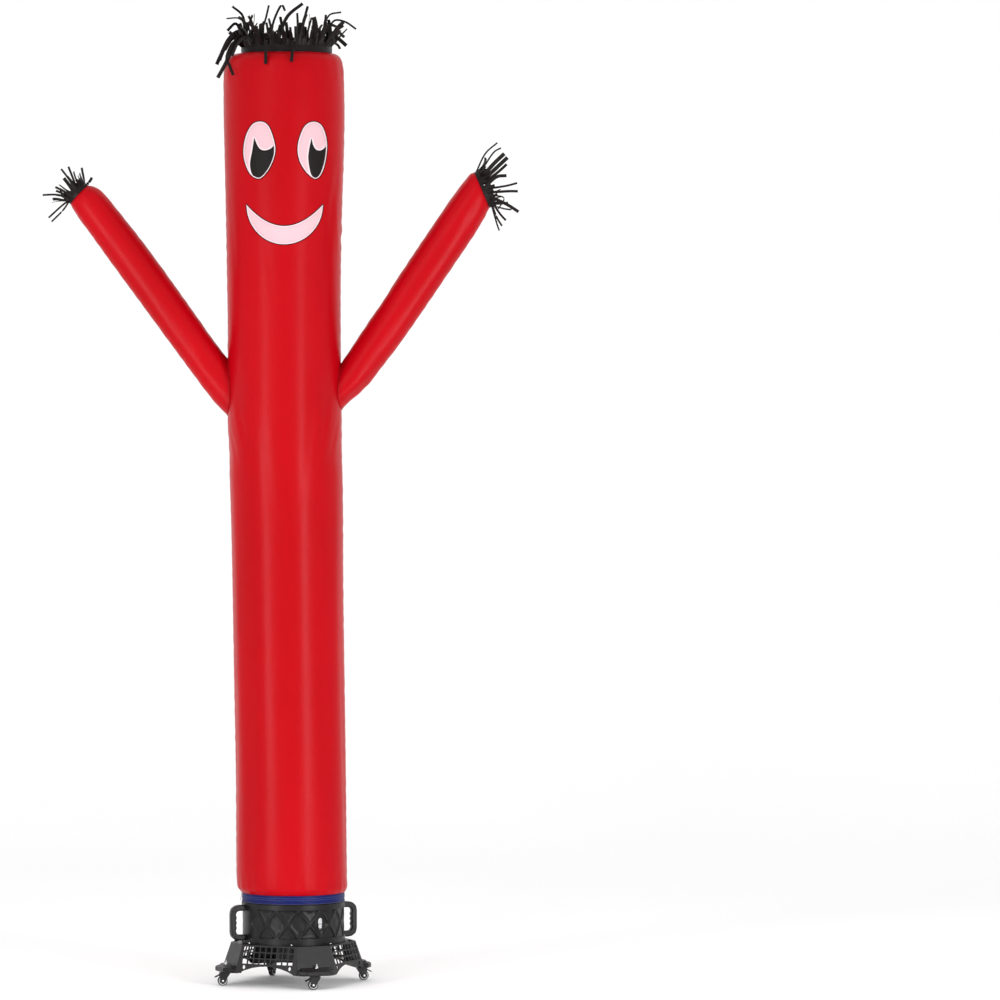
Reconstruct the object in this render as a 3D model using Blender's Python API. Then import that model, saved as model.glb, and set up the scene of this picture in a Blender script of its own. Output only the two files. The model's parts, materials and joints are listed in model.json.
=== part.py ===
"""Inflatable air dancer on its wheeled blower.

A red nylon tube figure with two arms, a sewn-on face and black strip fringes stands blown up over a
round blower on four braked swivel casters. Metres, +Z up, the face looks towards -Y, the floor is z = 0.
"""

import math
import random

import bmesh
import bpy
from mathutils import Matrix, Vector

# Driving dimensions
AXIS = Vector((0.050, 0.0, 0.0))
GAP = 0.0003
ROUND_SEGMENTS = 28
CLOTH = 0.0015

# Angles about the blower's axis, in degrees: four legs, with a grille face between each two
LEG_ANGLE = -68.9
LEG_COUNT = 4
GRILLE_OFFSET = 45.0

# Body tube, bottom to top: height, lean of the centre along X from the blower's axis, outer radius
TUBE = (
    # height, lean, radius
    (0.380, 0.0000, 0.2152),
    (0.388, -0.0010, 0.2210),
    (0.402, -0.0043, 0.2285),
    (0.472, -0.0070, 0.2303),
    (0.846, -0.0095, 0.2292),
    (1.220, -0.0150, 0.2300),
    (1.594, -0.0205, 0.2305),
    (1.960, -0.0250, 0.2335),
    (2.210, -0.0310, 0.2362),
    (2.340, -0.0340, 0.2372),
    (2.470, -0.0350, 0.2360),
    (2.600, -0.0355, 0.2352),
    (2.740, -0.0357, 0.2350),
    (2.960, -0.0370, 0.2370),
    (3.215, -0.0365, 0.2418),
    (3.464, -0.0350, 0.2485),
    (3.626, -0.0355, 0.2512),
    (3.775, -0.0370, 0.2500),
    (3.826, -0.0360, 0.2425),
    (3.850, -0.0330, 0.2270),
    (3.860, -0.0300, 0.2050),
    (3.863, -0.0250, 0.1800),
)
# Soft creases pressed into the tube: direction in degrees, height, spread in degrees, reach, depth
CREASES = (
    # direction, height, spread, reach, depth
    (-38.0, 2.470, 16.0, 0.080, 0.008),
    (-142.0, 2.470, 16.0, 0.080, 0.007),
    (38.0, 2.340, 16.0, 0.090, 0.006),
    (140.0, 2.340, 16.0, 0.090, 0.006),
    (-20.0, 2.210, 20.0, 0.070, 0.006),
    (-165.0, 2.210, 18.0, 0.070, 0.005),
    (100.0, 1.594, 30.0, 0.200, 0.006),
)

# Arms: root point on the tube's side, direction up and out, and rows along the arm's own axis
ARM_SEGMENTS = 16
# Stretch of the tube that the arms are sewn to
ARM_ZONE = (1.9, 3.3)
LEFT_ARM = {
    "root": Vector((-0.2285, 0.0, 2.475)),
    "angle": 36.3,
    "side": -1,
    "rows": (
        # along, aside, half_width, half_depth, tilt
        (-0.220, -0.0100, 0.0620, 0.0720, 0.0),
        (-0.090, -0.0060, 0.0690, 0.0745, 0.0),
        (-0.008, -0.0020, 0.0755, 0.0760, 0.0),
        (0.080, -0.0012, 0.0766, 0.0765, 0.0),
        (0.289, -0.0015, 0.0773, 0.0765, 0.0),
        (0.480, -0.0030, 0.0785, 0.0770, 0.0),
        (0.640, -0.0035, 0.0790, 0.0770, 0.0),
        (0.847, -0.0014, 0.0752, 0.0740, 0.0),
        (0.930, 0.0010, 0.0730, 0.0710, 1.0),
        (0.965, 0.0030, 0.0690, 0.0680, 4.0),
        (0.990, 0.0080, 0.0620, 0.0620, 8.0),
        (1.006, 0.0150, 0.0530, 0.0540, 11.0),
    ),
}
RIGHT_ARM = {
    "root": Vector((0.2535, 0.0, 2.442)),
    "angle": 33.5,
    "side": 1,
    "rows": (
        # along, aside, half_width, half_depth, tilt
        (-0.220, -0.0300, 0.0500, 0.0740, 0.0),
        (-0.030, -0.0235, 0.0570, 0.0770, 0.0),
        (0.060, -0.0105, 0.0680, 0.0785, 0.0),
        (0.124, -0.0045, 0.0730, 0.0790, 0.0),
        (0.180, -0.0030, 0.0745, 0.0790, 0.0),
        (0.280, 0.0007, 0.0785, 0.0790, 0.0),
        (0.400, 0.0030, 0.0808, 0.0790, 0.0),
        (0.700, 0.0055, 0.0826, 0.0790, 0.0),
        (0.850, 0.0070, 0.0825, 0.0780, 0.0),
        (0.925, 0.0070, 0.0815, 0.0770, 10.0),
        (0.985, 0.0080, 0.0840, 0.0755, 24.0),
        (1.018, 0.0090, 0.0850, 0.0730, 31.0),
        (1.033, 0.0130, 0.0800, 0.0680, 33.0),
    ),
}

# Fringes: a thin sewn band round each vent, with an outer and an inner row of strips
BAND_THICKNESS = 0.006
STRIP_THICKNESS = 0.002
STRIP_STEPS = 3
HEAD_BAND = {"radius": 0.188, "height": 0.030, "cells": 46, "seed": 11}
HAND_BAND_HEIGHT = 0.014
HAND_CELLS = 22
HAND_STEPS = 2
# Styles of the strips: lean from upright and bend at each step in degrees, sideways drift, length, width
HEAD_OUTER = {"lean": (8, 60), "bend": (0, 22), "drift": 0.22, "length": (0.085, 0.150), "width": 0.018}
HEAD_INNER = {"lean": (-22, 4), "bend": (-6, 8), "drift": 0.10, "length": (0.100, 0.185), "width": 0.016}
HAND_OUTER = {"lean": (15, 58), "bend": (0, 18), "drift": 0.16, "length": (0.085, 0.150), "width": 0.016}
HAND_INNER = {"lean": (-8, 14), "bend": (-4, 8), "drift": 0.08, "length": (0.085, 0.150), "width": 0.012}
DROOP = {"lean": (48, 54), "bend": (42, 46), "drift": 0.05, "length": (0.150, 0.165)}
DROOPING_CELLS = (32, 36, 22, 24, 0)
STRIP_TAPER = 0.12

# Face: patches sewn on the front of the tube, each outline as (x, z) from its own centre
PATCH_LIFT = 0.0004
PATCH_THICKNESS = 0.001
# How far in front of the tube's middle a patch's outline is swept, from and to
PATCH_SWEEP = (-0.50, -0.02)
EYE_HEIGHT = 3.4530
LEFT_EYE_X = -0.0789
RIGHT_EYE_X = 0.1379
LEFT_EYE = (
    (0.003, 0.119), (0.031, 0.108), (0.051, 0.073), (0.0665, 0.009), (0.056, -0.044), (0.030, -0.091),
    (-0.002, -0.116), (-0.039, -0.097), (-0.063, -0.044), (-0.068, 0.009), (-0.055, 0.068), (-0.029, 0.108),
)
RIGHT_EYE = (
    (0.009, 0.119), (0.041, 0.100), (0.059, 0.041), (0.0565, -0.023), (0.041, -0.086), (0.014, -0.116),
    (-0.023, -0.091), (-0.0515, -0.044), (-0.060, 0.009), (-0.049, 0.062), (-0.026, 0.105),
)
LEFT_PUPIL = (
    (-0.022, 0.054), (-0.010, 0.024), (0.021, 0.000), (0.042, 0.005), (0.060, 0.0185), (0.059, -0.022),
    (0.046, -0.0675), (0.021, -0.103), (-0.006, -0.1145), (-0.031, -0.097), (-0.040, -0.055), (-0.030, 0.003),
)
RIGHT_PUPIL = (
    (-0.003, 0.052), (0.003, 0.025), (0.030, 0.001), (0.044, 0.007), (0.055, 0.0205), (0.0545, -0.022),
    (0.042, -0.068), (0.027, -0.105), (0.016, -0.1145), (-0.005, -0.097), (-0.016, -0.038), (-0.013, 0.003),
)
MOUTH = {"x": 0.023, "z": 3.233, "half_width": 0.158, "lower_depth": 0.166, "upper_depth": 0.090, "steps": 12}

# Blower barrel, a turned shell with ribbed diamond panels
BARREL_INNER = 0.200
BARREL_FOOT = 0.1743
LOWER_RING = {"radius": 0.2150, "top": 0.199}
UPPER_RING = {"radius": 0.2150, "bottom": 0.320, "top": 0.340}
DRUM_RADIUS = 0.2110
NECK_RADIUS = 0.2070
RIM = {"radius": 0.2165, "bottom": 0.392, "top": 0.410}
RIB_WIDTH = 0.0045
RIB_SLOPE = 0.003
RIB_HEIGHT = 0.005
# Radius of the upright line where the two halves of a sunk diamond meet
PANEL_RIDGE = 0.2073
DIAMONDS_PER_SIDE = 6
TAPE = {"inner": NECK_RADIUS + GAP, "outer": 0.2100, "bottom": 0.3405, "top": 0.3895}
COLLAR = {"inner": 0.2103, "outer": 0.2133, "bottom": 0.3405, "top": 0.3885}
STRAP = {"angle": 182.0, "width": 0.012, "bottom": 0.346, "top": 0.380, "thickness": 0.002}

# Handles: outline of the D in its own radial plane
HANDLE = {
    "width": 0.029, "top": 0.332, "bottom": 0.185, "reach": 0.277, "corner": 0.036,
    "leg": 0.024, "grip": 0.022, "scallops": 4, "scallop_pitch": 0.021, "scallop_depth": 0.0035,
    "inner_corner": 0.014, "edge": 0.003, "sink": 0.004, "seat_low": 0.150, "seat_high": 0.360,
}

# Tie-down brackets: a plate with a ring hanging on it
BRACKET = {"width": 0.017, "bottom": 0.238, "top": 0.286, "thickness": 0.002, "round_steps": 6}
TIE_RING = {"half_width": 0.0105, "height": 0.022, "wire": 0.0016, "bow_steps": 8, "sides": 4, "top": 0.262,
            "shoulder": 0.0023, "flat": 0.0084}

# Base: octagon skirt with four feet
BASE_TOP = 0.174
BASE_BOTTOM = 0.058
BASE_WALL = 0.004
# The hollow is cut through below the skirt's foot
HOLLOW_FOOT = 0.045
BASE_AT_TOP = {"grille": 0.227, "leg": 0.248}
BASE_AT_BOTTOM = {"grille": 0.262, "leg": 0.286}
FAN_HOLE = 0.192
ARCH = {"half_width": 0.130, "top": 0.090, "foot": 0.040, "steps": 8}
CELLS = {"columns": 9, "rows": 3, "width": 0.0203, "height": 0.0195, "pitch_x": 0.0262, "pitch_z": 0.0245,
         "top": 0.167}
SLOT = {"width": 0.012, "bottom": 0.0745, "top": 0.0940, "steps": 2}
CUT_IN = 0.200
CUT_OUT = 0.300
BOSS = {"radius": 0.0085, "height": 0.006, "at": 0.238, "aside": 24.0, "sides": 8}
# Foot rows from the floor side up: height, inset of the outline
FOOT_OUTLINE = ((0.256, 0.086), (0.302, 0.080), (0.326, 0.050))
FOOT_ROWS = (
    # height, inset
    (0.058, 0.002),
    (0.061, 0.000),
    (0.075, 0.000),
    (0.080, 0.005),
    (0.0805, 0.014),
    (0.088, 0.020),
)

# Casters: a fixed stud with its nut, a swivelling fork, a wheel and a brake pedal
SWIVEL_RADIUS = 0.294
TRAIL = 0.016
# Way that each wheel trails from its swivel, in degrees, in the order of the legs
CASTER_HEADINGS = (-168.0, 12.0, 64.0, 190.0)
CASTER_NAMES = ("front", "right", "back", "left")
WHEEL = {"radius": 0.021, "half_width": 0.0095, "tread": 0.0057, "shoulder": 0.01764, "hub": 0.0109,
         "hub_radius": 0.008, "bore": 0.0031, "segments": 12}
AXLE_HEIGHT = WHEEL["radius"] * math.cos(math.pi / WHEEL["segments"])
AXLE = {"radius": 0.0026, "half_length": 0.0165, "head": 0.0045, "bite": 0.001, "sides": 8}
FORK = {"half_width": 0.0138, "inner": 0.0112, "crown_bottom": 0.0495, "crown_top": 0.0542, "back": -0.014,
        "front": 0.029, "foot": 0.013, "nose": 0.040, "foot_back": 0.009, "foot_front": 0.022}
STUD = {"radius": 0.0042, "plate": 0.0125, "washer": 0.0085, "nut": 0.0065, "tip": 0.00378, "top": 0.106,
        "sides": 8}
# Heights of the washer and of the nut's top above the foot
WASHER_TOP = 0.0018
NUT_TOP = 0.0085
# Heights between which each foot is drilled for its stud
STUD_HOLE = (0.05, 0.10)
PEDAL_HALF_WIDTH = 0.0109
# Wedge of the pedal: distance from the swivel, height
PEDAL = ((0.0195, 0.0455), (0.0265, 0.0480), (0.0460, 0.0389), (0.0500, 0.0353), (0.0480, 0.0335),
         (0.0285, 0.04225), (0.0205, 0.04225))

# Fan motor under the barrel, carried by a cross bracket below the base's top
MOTOR_SEGMENTS = 16
MOTOR = (
    # radius, height
    (0.0560, 0.0880),
    (0.0700, 0.1000),
    (0.0700, 0.1500),
    (0.0385, 0.1600),
    (0.0210, 0.1652),
)
CROSS = {"half_width": 0.015, "bottom": 0.1655, "top": 0.1697, "reach": 0.215}

PALETTE = {
    # slot: colour, roughness, metallic
    "red_nylon": ((0.68, 0.004, 0.010), 0.55, 0.0),
    "blue_nylon": ((0.035, 0.045, 0.21), 0.60, 0.0),
    "black_strip": ((0.012, 0.009, 0.009), 0.60, 0.0),
    "pink_patch": ((0.91, 0.64, 0.70), 0.65, 0.0),
    "dark_patch": ((0.028, 0.018, 0.019), 0.60, 0.0),
    "black_plastic": ((0.022, 0.020, 0.020), 0.42, 0.0),
    "hook_tape": ((0.012, 0.012, 0.013), 0.90, 0.0),
    "tyre_black": ((0.012, 0.012, 0.012), 0.50, 0.0),
    "zinc": ((0.70, 0.70, 0.71), 0.28, 1.0),
    "black_steel": ((0.015, 0.015, 0.016), 0.38, 0.6),
}


def clear_scene():
    """Remove what the scene holds."""
    for thing in list(bpy.data.objects):
        bpy.data.objects.remove(thing, do_unlink=True)


def material(slot):
    """The Principled material of a slot, made once."""
    found = bpy.data.materials.get(slot)
    if found:
        return found
    colour, roughness, metallic = PALETTE[slot]
    made = bpy.data.materials.new(slot)
    made.use_nodes = True
    shader = made.node_tree.nodes["Principled BSDF"]
    shader.inputs["Base Color"].default_value = (*colour, 1.0)
    shader.inputs["Roughness"].default_value = roughness
    shader.inputs["Metallic"].default_value = metallic
    return made


def add_object(name, bm, slot=None, smooth=35.0):
    """Turn a bmesh into an object. Without a slot it is a cutter, which isn't part of the model."""
    bmesh.ops.recalc_face_normals(bm, faces=bm.faces)
    mesh = bpy.data.meshes.new(name)
    bm.to_mesh(mesh)
    bm.free()
    made = bpy.data.objects.new(name, mesh)
    bpy.context.scene.collection.objects.link(made)
    if slot:
        mesh.materials.append(material(slot))
        mesh.shade_smooth()
        mesh.set_sharp_from_angle(angle=math.radians(smooth))
    else:
        made.hide_render = True
        made.display_type = "WIRE"
    return made


def boolean(target, other, operation):
    """Add a Boolean modifier that cuts, joins or keeps what is common."""
    modifier = target.modifiers.new(other.name, "BOOLEAN")
    modifier.operation = operation
    modifier.solver = "EXACT"
    modifier.object = other


def polar(angle, radius, height):
    """A point about the blower's axis, from an angle in degrees."""
    turn = math.radians(angle)
    return Vector((AXIS.x + radius * math.cos(turn), AXIS.y + radius * math.sin(turn), height))


def frame_at(angle):
    """Frame about the blower's axis: X outward at the angle, Y along the turn, Z up."""
    return Matrix.Translation(AXIS) @ Matrix.Rotation(math.radians(angle), 4, "Z")


def join_rings(bm, rings, wrap=True):
    """Quads between rings of vertices, each ring closed when wrap is true."""
    for low, high in zip(rings, rings[1:]):
        count = len(low)
        for i in range(count if wrap else count - 1):
            j = (i + 1) % count
            bm.faces.new((low[i], low[j], high[j], high[i]))


def add_ring(bm, points):
    """One vertex for each point."""
    return [bm.verts.new(point) for point in points]


def add_loft(bm, point_rings):
    """A closed solid through rings of points, with flat ends."""
    rings = [add_ring(bm, points) for points in point_rings]
    join_rings(bm, rings)
    bm.faces.new(rings[0])
    bm.faces.new(rings[-1])


def loft(point_rings):
    """add_loft in a bmesh of its own."""
    bm = bmesh.new()
    add_loft(bm, point_rings)
    return bm


def sheet_tube(outer, inner):
    """A closed cloth tube between an outer and an inner set of rings, open at both ends."""
    bm = bmesh.new()
    outside = [add_ring(bm, points) for points in outer]
    inside = [add_ring(bm, points) for points in inner]
    join_rings(bm, outside)
    join_rings(bm, inside)
    join_rings(bm, [outside[0], inside[0]])
    join_rings(bm, [outside[-1], inside[-1]])
    return bm


def turned_ring(profile, centre=AXIS, segments=ROUND_SEGMENTS, first=LEG_ANGLE):
    """A closed profile of (radius, height) points swept round a vertical axis."""
    bm = bmesh.new()
    rings = []
    for radius, height in profile:
        rings.append(add_ring(bm, circle(radius, height, centre, segments, first)))
    join_rings(bm, rings + rings[:1])
    return bm


def circle(radius, height, centre=AXIS, segments=ROUND_SEGMENTS, first=LEG_ANGLE):
    """Points round a vertical axis, the first one in a direction given in degrees."""
    points = []
    for i in range(segments):
        turn = math.radians(first + 360.0 * i / segments)
        points.append((centre.x + radius * math.cos(turn), centre.y + radius * math.sin(turn), height))
    return points


def box(low, high, frame):
    """The eight corners of a box in a frame, as two rings of four."""
    rings = []
    for z in (low[2], high[2]):
        corners = ((low[0], low[1]), (high[0], low[1]), (high[0], high[1]), (low[0], high[1]))
        rings.append([frame @ Vector((x, y, z)) for x, y in corners])
    return rings


def crease_depth(angle, height):
    """How far the tube is pressed in at a direction and a height."""
    depth = 0.0
    for direction, level, spread, reach, deep in CREASES:
        away = (angle - direction + 180.0) % 360.0 - 180.0
        depth += deep * math.exp(-((away / spread) ** 2) - ((height - level) / reach) ** 2)
    return depth


def tube_rings(lift, low=-1.0, high=9.0):
    """The tube's rings between two heights, lifted off its outer surface by a distance."""
    rings = []
    for height, lean, radius in TUBE:
        if not low <= height <= high:
            continue
        ring = []
        for i in range(ROUND_SEGMENTS):
            angle = LEG_ANGLE + 360.0 * i / ROUND_SEGMENTS
            turn = math.radians(angle)
            reach = radius + lift - crease_depth(angle, height)
            ring.append((AXIS.x + lean + reach * math.cos(turn), AXIS.y + reach * math.sin(turn), height))
        rings.append(ring)
    return rings


def arm_frame(arm, along, aside, tilt):
    """Frame of an arm's row: Z along the arm, X to the outer side, Y to the back."""
    angle = math.radians(arm["angle"])
    forward = Vector((arm["side"] * math.sin(angle), 0.0, math.cos(angle)))
    outward = Vector((arm["side"] * math.cos(angle), 0.0, -math.sin(angle)))
    origin = arm["root"] + forward * along + outward * aside
    lean = math.radians(tilt)
    normal = forward * math.cos(lean) + outward * math.sin(lean)
    across = outward * math.cos(lean) - forward * math.sin(lean)
    depth = normal.cross(across)
    return Matrix(((across.x, depth.x, normal.x, origin.x),
                   (across.y, depth.y, normal.y, origin.y),
                   (across.z, depth.z, normal.z, origin.z),
                   (0.0, 0.0, 0.0, 1.0)))


def arm_rings(arm, lift):
    """The arm's rings, lifted off its outer surface by a distance."""
    rings = []
    for along, aside, half_width, half_depth, tilt in arm["rows"]:
        frame = arm_frame(arm, along, aside, tilt)
        ring = []
        for i in range(ARM_SEGMENTS):
            turn = 2.0 * math.pi * (i + 0.5) / ARM_SEGMENTS
            across = (half_width + lift) * math.cos(turn)
            depth = (half_depth + lift) * math.sin(turn)
            ring.append(frame @ Vector((across, depth, 0.0)))
        rings.append(ring)
    return rings


def build_tube_and_arms():
    """The body tube with its two arm holes, and the arms, each cut to lie on the tube."""
    body = add_object("body_tube", sheet_tube(tube_rings(0.0), tube_rings(-CLOTH)), "red_nylon")
    envelope = add_object("tube_envelope", loft(tube_rings(GAP, *ARM_ZONE)))
    for name, arm in (("arm_left", LEFT_ARM), ("arm_right", RIGHT_ARM)):
        hole = add_object(name + "_hole", loft(arm_rings(arm, -CLOTH)))
        boolean(body, hole, "DIFFERENCE")
        sleeve = add_object(name, sheet_tube(arm_rings(arm, 0.0), arm_rings(arm, -CLOTH)), "red_nylon")
        boolean(sleeve, envelope, "DIFFERENCE")


def strip_path(rng, style, steps):
    """Lean from upright, bend at each step, sideways drift and length of one strip of a fringe."""
    lean = rng.uniform(*style["lean"])
    bend = rng.uniform(*style["bend"])
    drift = rng.uniform(-style["drift"], style["drift"])
    length = rng.uniform(*style["length"])
    return [lean + bend * k for k in range(steps)], drift, length


def fringe(name, frame, half_width, half_depth, height, cells, seed, styles, steps, special=()):
    """A sewn band round a vent with an outer and an inner row of strips, all one solid."""
    rng = random.Random(seed)
    bm = bmesh.new()
    lifts = (-BAND_THICKNESS, STRIP_THICKNESS - BAND_THICKNESS, -STRIP_THICKNESS, 0.0)

    def band_point(cell, lift, z):
        turn = 2.0 * math.pi * cell / cells
        return frame @ Vector(((half_width + lift) * math.cos(turn), (half_depth + lift) * math.sin(turn), z))

    low = [add_ring(bm, [band_point(c, lift, 0.0) for c in range(cells)]) for lift in (lifts[0], lifts[3])]
    top = [add_ring(bm, [band_point(c, lift, height) for c in range(cells)]) for lift in lifts]
    join_rings(bm, [low[0], low[1]])
    join_rings(bm, [low[0], top[0]])
    join_rings(bm, [low[1], top[3]])
    join_rings(bm, [top[1], top[2]])
    normal = (frame.to_3x3() @ Vector((0.0, 0.0, 1.0))).normalized()
    for cell in range(cells):
        after = (cell + 1) % cells
        outer_row = cell % 2 == 0
        for row, (near, far) in enumerate(((0, 1), (2, 3))):
            quad = (top[near][cell], top[far][cell], top[far][after], top[near][after])
            if outer_row != (row == 1):
                bm.faces.new(quad)
                continue
            start = sum((v.co for v in quad), Vector()) / 4.0
            along = (top[far][after].co - top[far][cell].co)
            width = along.length
            along.normalize()
            outward = along.cross(normal).normalized()
            style = dict(styles[0] if outer_row else styles[1])
            style.update(dict(special).get(cell, {}))
            leans, drift, length = strip_path(rng, style, steps)
            ring = list(quad)
            centre = start
            for k, lean in enumerate(leans):
                turn = math.radians(lean)
                way = normal * math.cos(turn) + outward * math.sin(turn)
                face = outward * math.cos(turn) - normal * math.sin(turn)
                centre = centre + (way + along * drift).normalized() * (length / steps)
                half = 0.5 * min(width, style["width"]) * (1.0 - STRIP_TAPER * (k + 1) / steps)
                thick = 0.5 * STRIP_THICKNESS
                corners = ((-half, -thick), (-half, thick), (half, thick), (half, -thick))
                step_ring = add_ring(bm, [centre + along * a + face * b for a, b in corners])
                join_rings(bm, [ring, step_ring])
                ring = step_ring
            bm.faces.new(ring)
    return add_object(name, bm, "black_strip")


def build_fringes():
    """The hair round the head's vent and the fringe at each hand."""
    top_height, lean, _ = TUBE[-1]
    head = Matrix.Translation(AXIS + Vector((lean, 0.0, top_height + GAP)))
    hanging = tuple((cell, DROOP) for cell in DROOPING_CELLS)
    fringe("head_fringe", head, HEAD_BAND["radius"], HEAD_BAND["radius"], HEAD_BAND["height"],
           HEAD_BAND["cells"], HEAD_BAND["seed"], (HEAD_OUTER, HEAD_INNER), STRIP_STEPS, hanging)
    for name, arm, seed in (("hand_fringe_left", LEFT_ARM, 5), ("hand_fringe_right", RIGHT_ARM, 8)):
        along, aside, half_width, half_depth, tilt = arm["rows"][-1]
        frame = arm_frame(arm, along, aside, tilt) @ Matrix.Translation((0.0, 0.0, GAP))
        fringe(name, frame, half_width, half_depth, HAND_BAND_HEIGHT, HAND_CELLS, seed,
               (HAND_OUTER, HAND_INNER), HAND_STEPS)


def patch(name, slot, outline, level):
    """A cloth patch on the tube's front, its outline as (x, z), lifted by a number of layers."""
    low = min(z for _, z in outline)
    high = max(z for _, z in outline)
    heights = [row[0] for row in TUBE]
    below = max(height for height in heights if height < low)
    above = min(height for height in heights if height > high)
    inner_lift = PATCH_LIFT + level * (PATCH_LIFT + PATCH_THICKNESS)
    outer = tube_rings(inner_lift + PATCH_THICKNESS, below, above)
    inner = tube_rings(inner_lift, below, above)
    first = int((-180.0 - LEG_ANGLE) % 360.0 / (360.0 / ROUND_SEGMENTS))
    front = [(first + k) % ROUND_SEGMENTS for k in range(ROUND_SEGMENTS // 2 + 2)]
    bm = bmesh.new()
    outside = [add_ring(bm, [ring[i] for i in front]) for ring in outer]
    inside = [add_ring(bm, [ring[i] for i in front]) for ring in inner]
    join_rings(bm, outside, wrap=False)
    join_rings(bm, inside, wrap=False)
    join_rings(bm, [outside[0], inside[0]], wrap=False)
    join_rings(bm, [outside[-1], inside[-1]], wrap=False)
    for end in (0, -1):
        edge_out = [ring[end] for ring in outside]
        edge_in = [ring[end] for ring in inside]
        join_rings(bm, [edge_out, edge_in], wrap=False)
    made = add_object(name, bm, slot)
    near, far = ([(x, y, z) for x, z in outline] for y in PATCH_SWEEP)
    shape = add_object(name + "_shape", loft([near, far]))
    boolean(made, shape, "INTERSECT")


def mouth_outline():
    """Crescent between a half ellipse below and a parabola above, which meet at its tips."""
    steps = MOUTH["steps"]
    points = []
    lower, upper = (MOUTH["lower_depth"], 1, range(steps)), (MOUTH["upper_depth"], 2, range(steps, 0, -1))
    for depth, power, order in (lower, upper):
        for i in order:
            turn = math.pi * i / steps
            x = MOUTH["x"] - MOUTH["half_width"] * math.cos(turn)
            points.append((x, MOUTH["z"] - depth * math.sin(turn) ** power))
    return points


def build_face():
    """Two eyes, two pupils and a mouth."""
    pieces = (
        # name, slot, centre x, outline, level
        ("eye_left", "pink_patch", LEFT_EYE_X, LEFT_EYE, 0),
        ("eye_right", "pink_patch", RIGHT_EYE_X, RIGHT_EYE, 0),
        ("pupil_left", "dark_patch", LEFT_EYE_X, LEFT_PUPIL, 1),
        ("pupil_right", "dark_patch", RIGHT_EYE_X, RIGHT_PUPIL, 1),
    )
    for name, slot, centre, outline, level in pieces:
        patch(name, slot, [(centre + x, EYE_HEIGHT + z) for x, z in outline], level)
    patch("mouth", "pink_patch", mouth_outline(), 0)


def build_barrel():
    """Turned barrel whose drum has two sides of raised ribs round recessed diamond panels."""
    bm = bmesh.new()
    profile = (
        # radius, height
        (LOWER_RING["radius"], BARREL_FOOT),
        (LOWER_RING["radius"], LOWER_RING["top"]),
        (DRUM_RADIUS, LOWER_RING["top"]),
        (DRUM_RADIUS, 0.5 * (LOWER_RING["top"] + UPPER_RING["bottom"])),
        (DRUM_RADIUS, UPPER_RING["bottom"]),
        (UPPER_RING["radius"], UPPER_RING["bottom"]),
        (UPPER_RING["radius"], UPPER_RING["top"]),
        (NECK_RADIUS, UPPER_RING["top"]),
        (NECK_RADIUS, RIM["bottom"]),
        (RIM["radius"], RIM["bottom"]),
        (RIM["radius"], RIM["top"]),
        (BARREL_INNER, RIM["top"]),
        (BARREL_INNER, BARREL_FOOT),
    )
    rings = [add_ring(bm, circle(radius, height)) for radius, height in profile]
    foot, middle, head = rings[2:5]
    join_rings(bm, rings[:3])
    join_rings(bm, rings[4:] + rings[:1])
    panels = []
    for i in range(ROUND_SEGMENTS):
        j = (i + 1) % ROUND_SEGMENTS
        side = i % (ROUND_SEGMENTS // 2)
        plain = DIAMONDS_PER_SIDE <= side < DIAMONDS_PER_SIDE + 2
        # Odd columns carry the diamonds' top and bottom points, even columns their side points.
        point, waist = (i, j) if i % 2 else (j, i)
        halves = (
            (foot[point], middle[waist], head[point]),
            (foot[i], foot[j], middle[waist]),
            (head[i], head[j], middle[waist]),
        )
        made = [bm.faces.new(corners) for corners in halves]
        if not plain:
            panels.append((i, made))
    recess_panels(bm, panels)
    add_object("barrel", bm, "black_plastic")


def recess_panels(bm, panels):
    """Sink each diamond, and each triangle between two diamonds, leaving ribs along their edges."""
    regions = {}
    for i, (diamond, lower, upper) in panels:
        point = i if i % 2 else i + 1
        regions.setdefault(("diamond", point), []).append(diamond)
        waist = (i + 1 if i % 2 else i) % ROUND_SEGMENTS
        regions.setdefault(("lower", waist), []).append(lower)
        regions.setdefault(("upper", waist), []).append(upper)
    bm.normal_update()
    bmesh.ops.recalc_face_normals(bm, faces=bm.faces)
    for faces in regions.values():
        if len(faces) < 2:
            continue
        bmesh.ops.inset_region(bm, faces=faces, thickness=0.5 * RIB_WIDTH, depth=0.0, use_even_offset=True)
        bmesh.ops.inset_region(bm, faces=faces, thickness=RIB_SLOPE, depth=-RIB_HEIGHT, use_even_offset=True)


def build_bands():
    """Hook tape on the barrel's neck, the blue collar round it and the collar's strap end."""
    for name, band, slot in (("hook_tape", TAPE, "hook_tape"), ("collar", COLLAR, "blue_nylon")):
        profile = ((band["outer"], band["bottom"]), (band["outer"], band["top"]),
                   (band["inner"], band["top"]), (band["inner"], band["bottom"]))
        add_object(name, turned_ring(profile), slot)
    frame = frame_at(STRAP["angle"])
    near = COLLAR["outer"] + GAP
    half = 0.5 * STRAP["width"]
    low = (near, -half, STRAP["bottom"])
    high = (near + STRAP["thickness"], half, STRAP["top"])
    add_object("collar_strap", loft(box(low, high, frame)), "black_strip")


def arc(centre, radius, start, end, steps):
    """Points of an arc in a plane, angles in degrees."""
    points = []
    for i in range(steps + 1):
        turn = math.radians(start + (end - start) * i / steps)
        points.append((centre[0] + radius * math.cos(turn), centre[1] + radius * math.sin(turn)))
    return points


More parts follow.
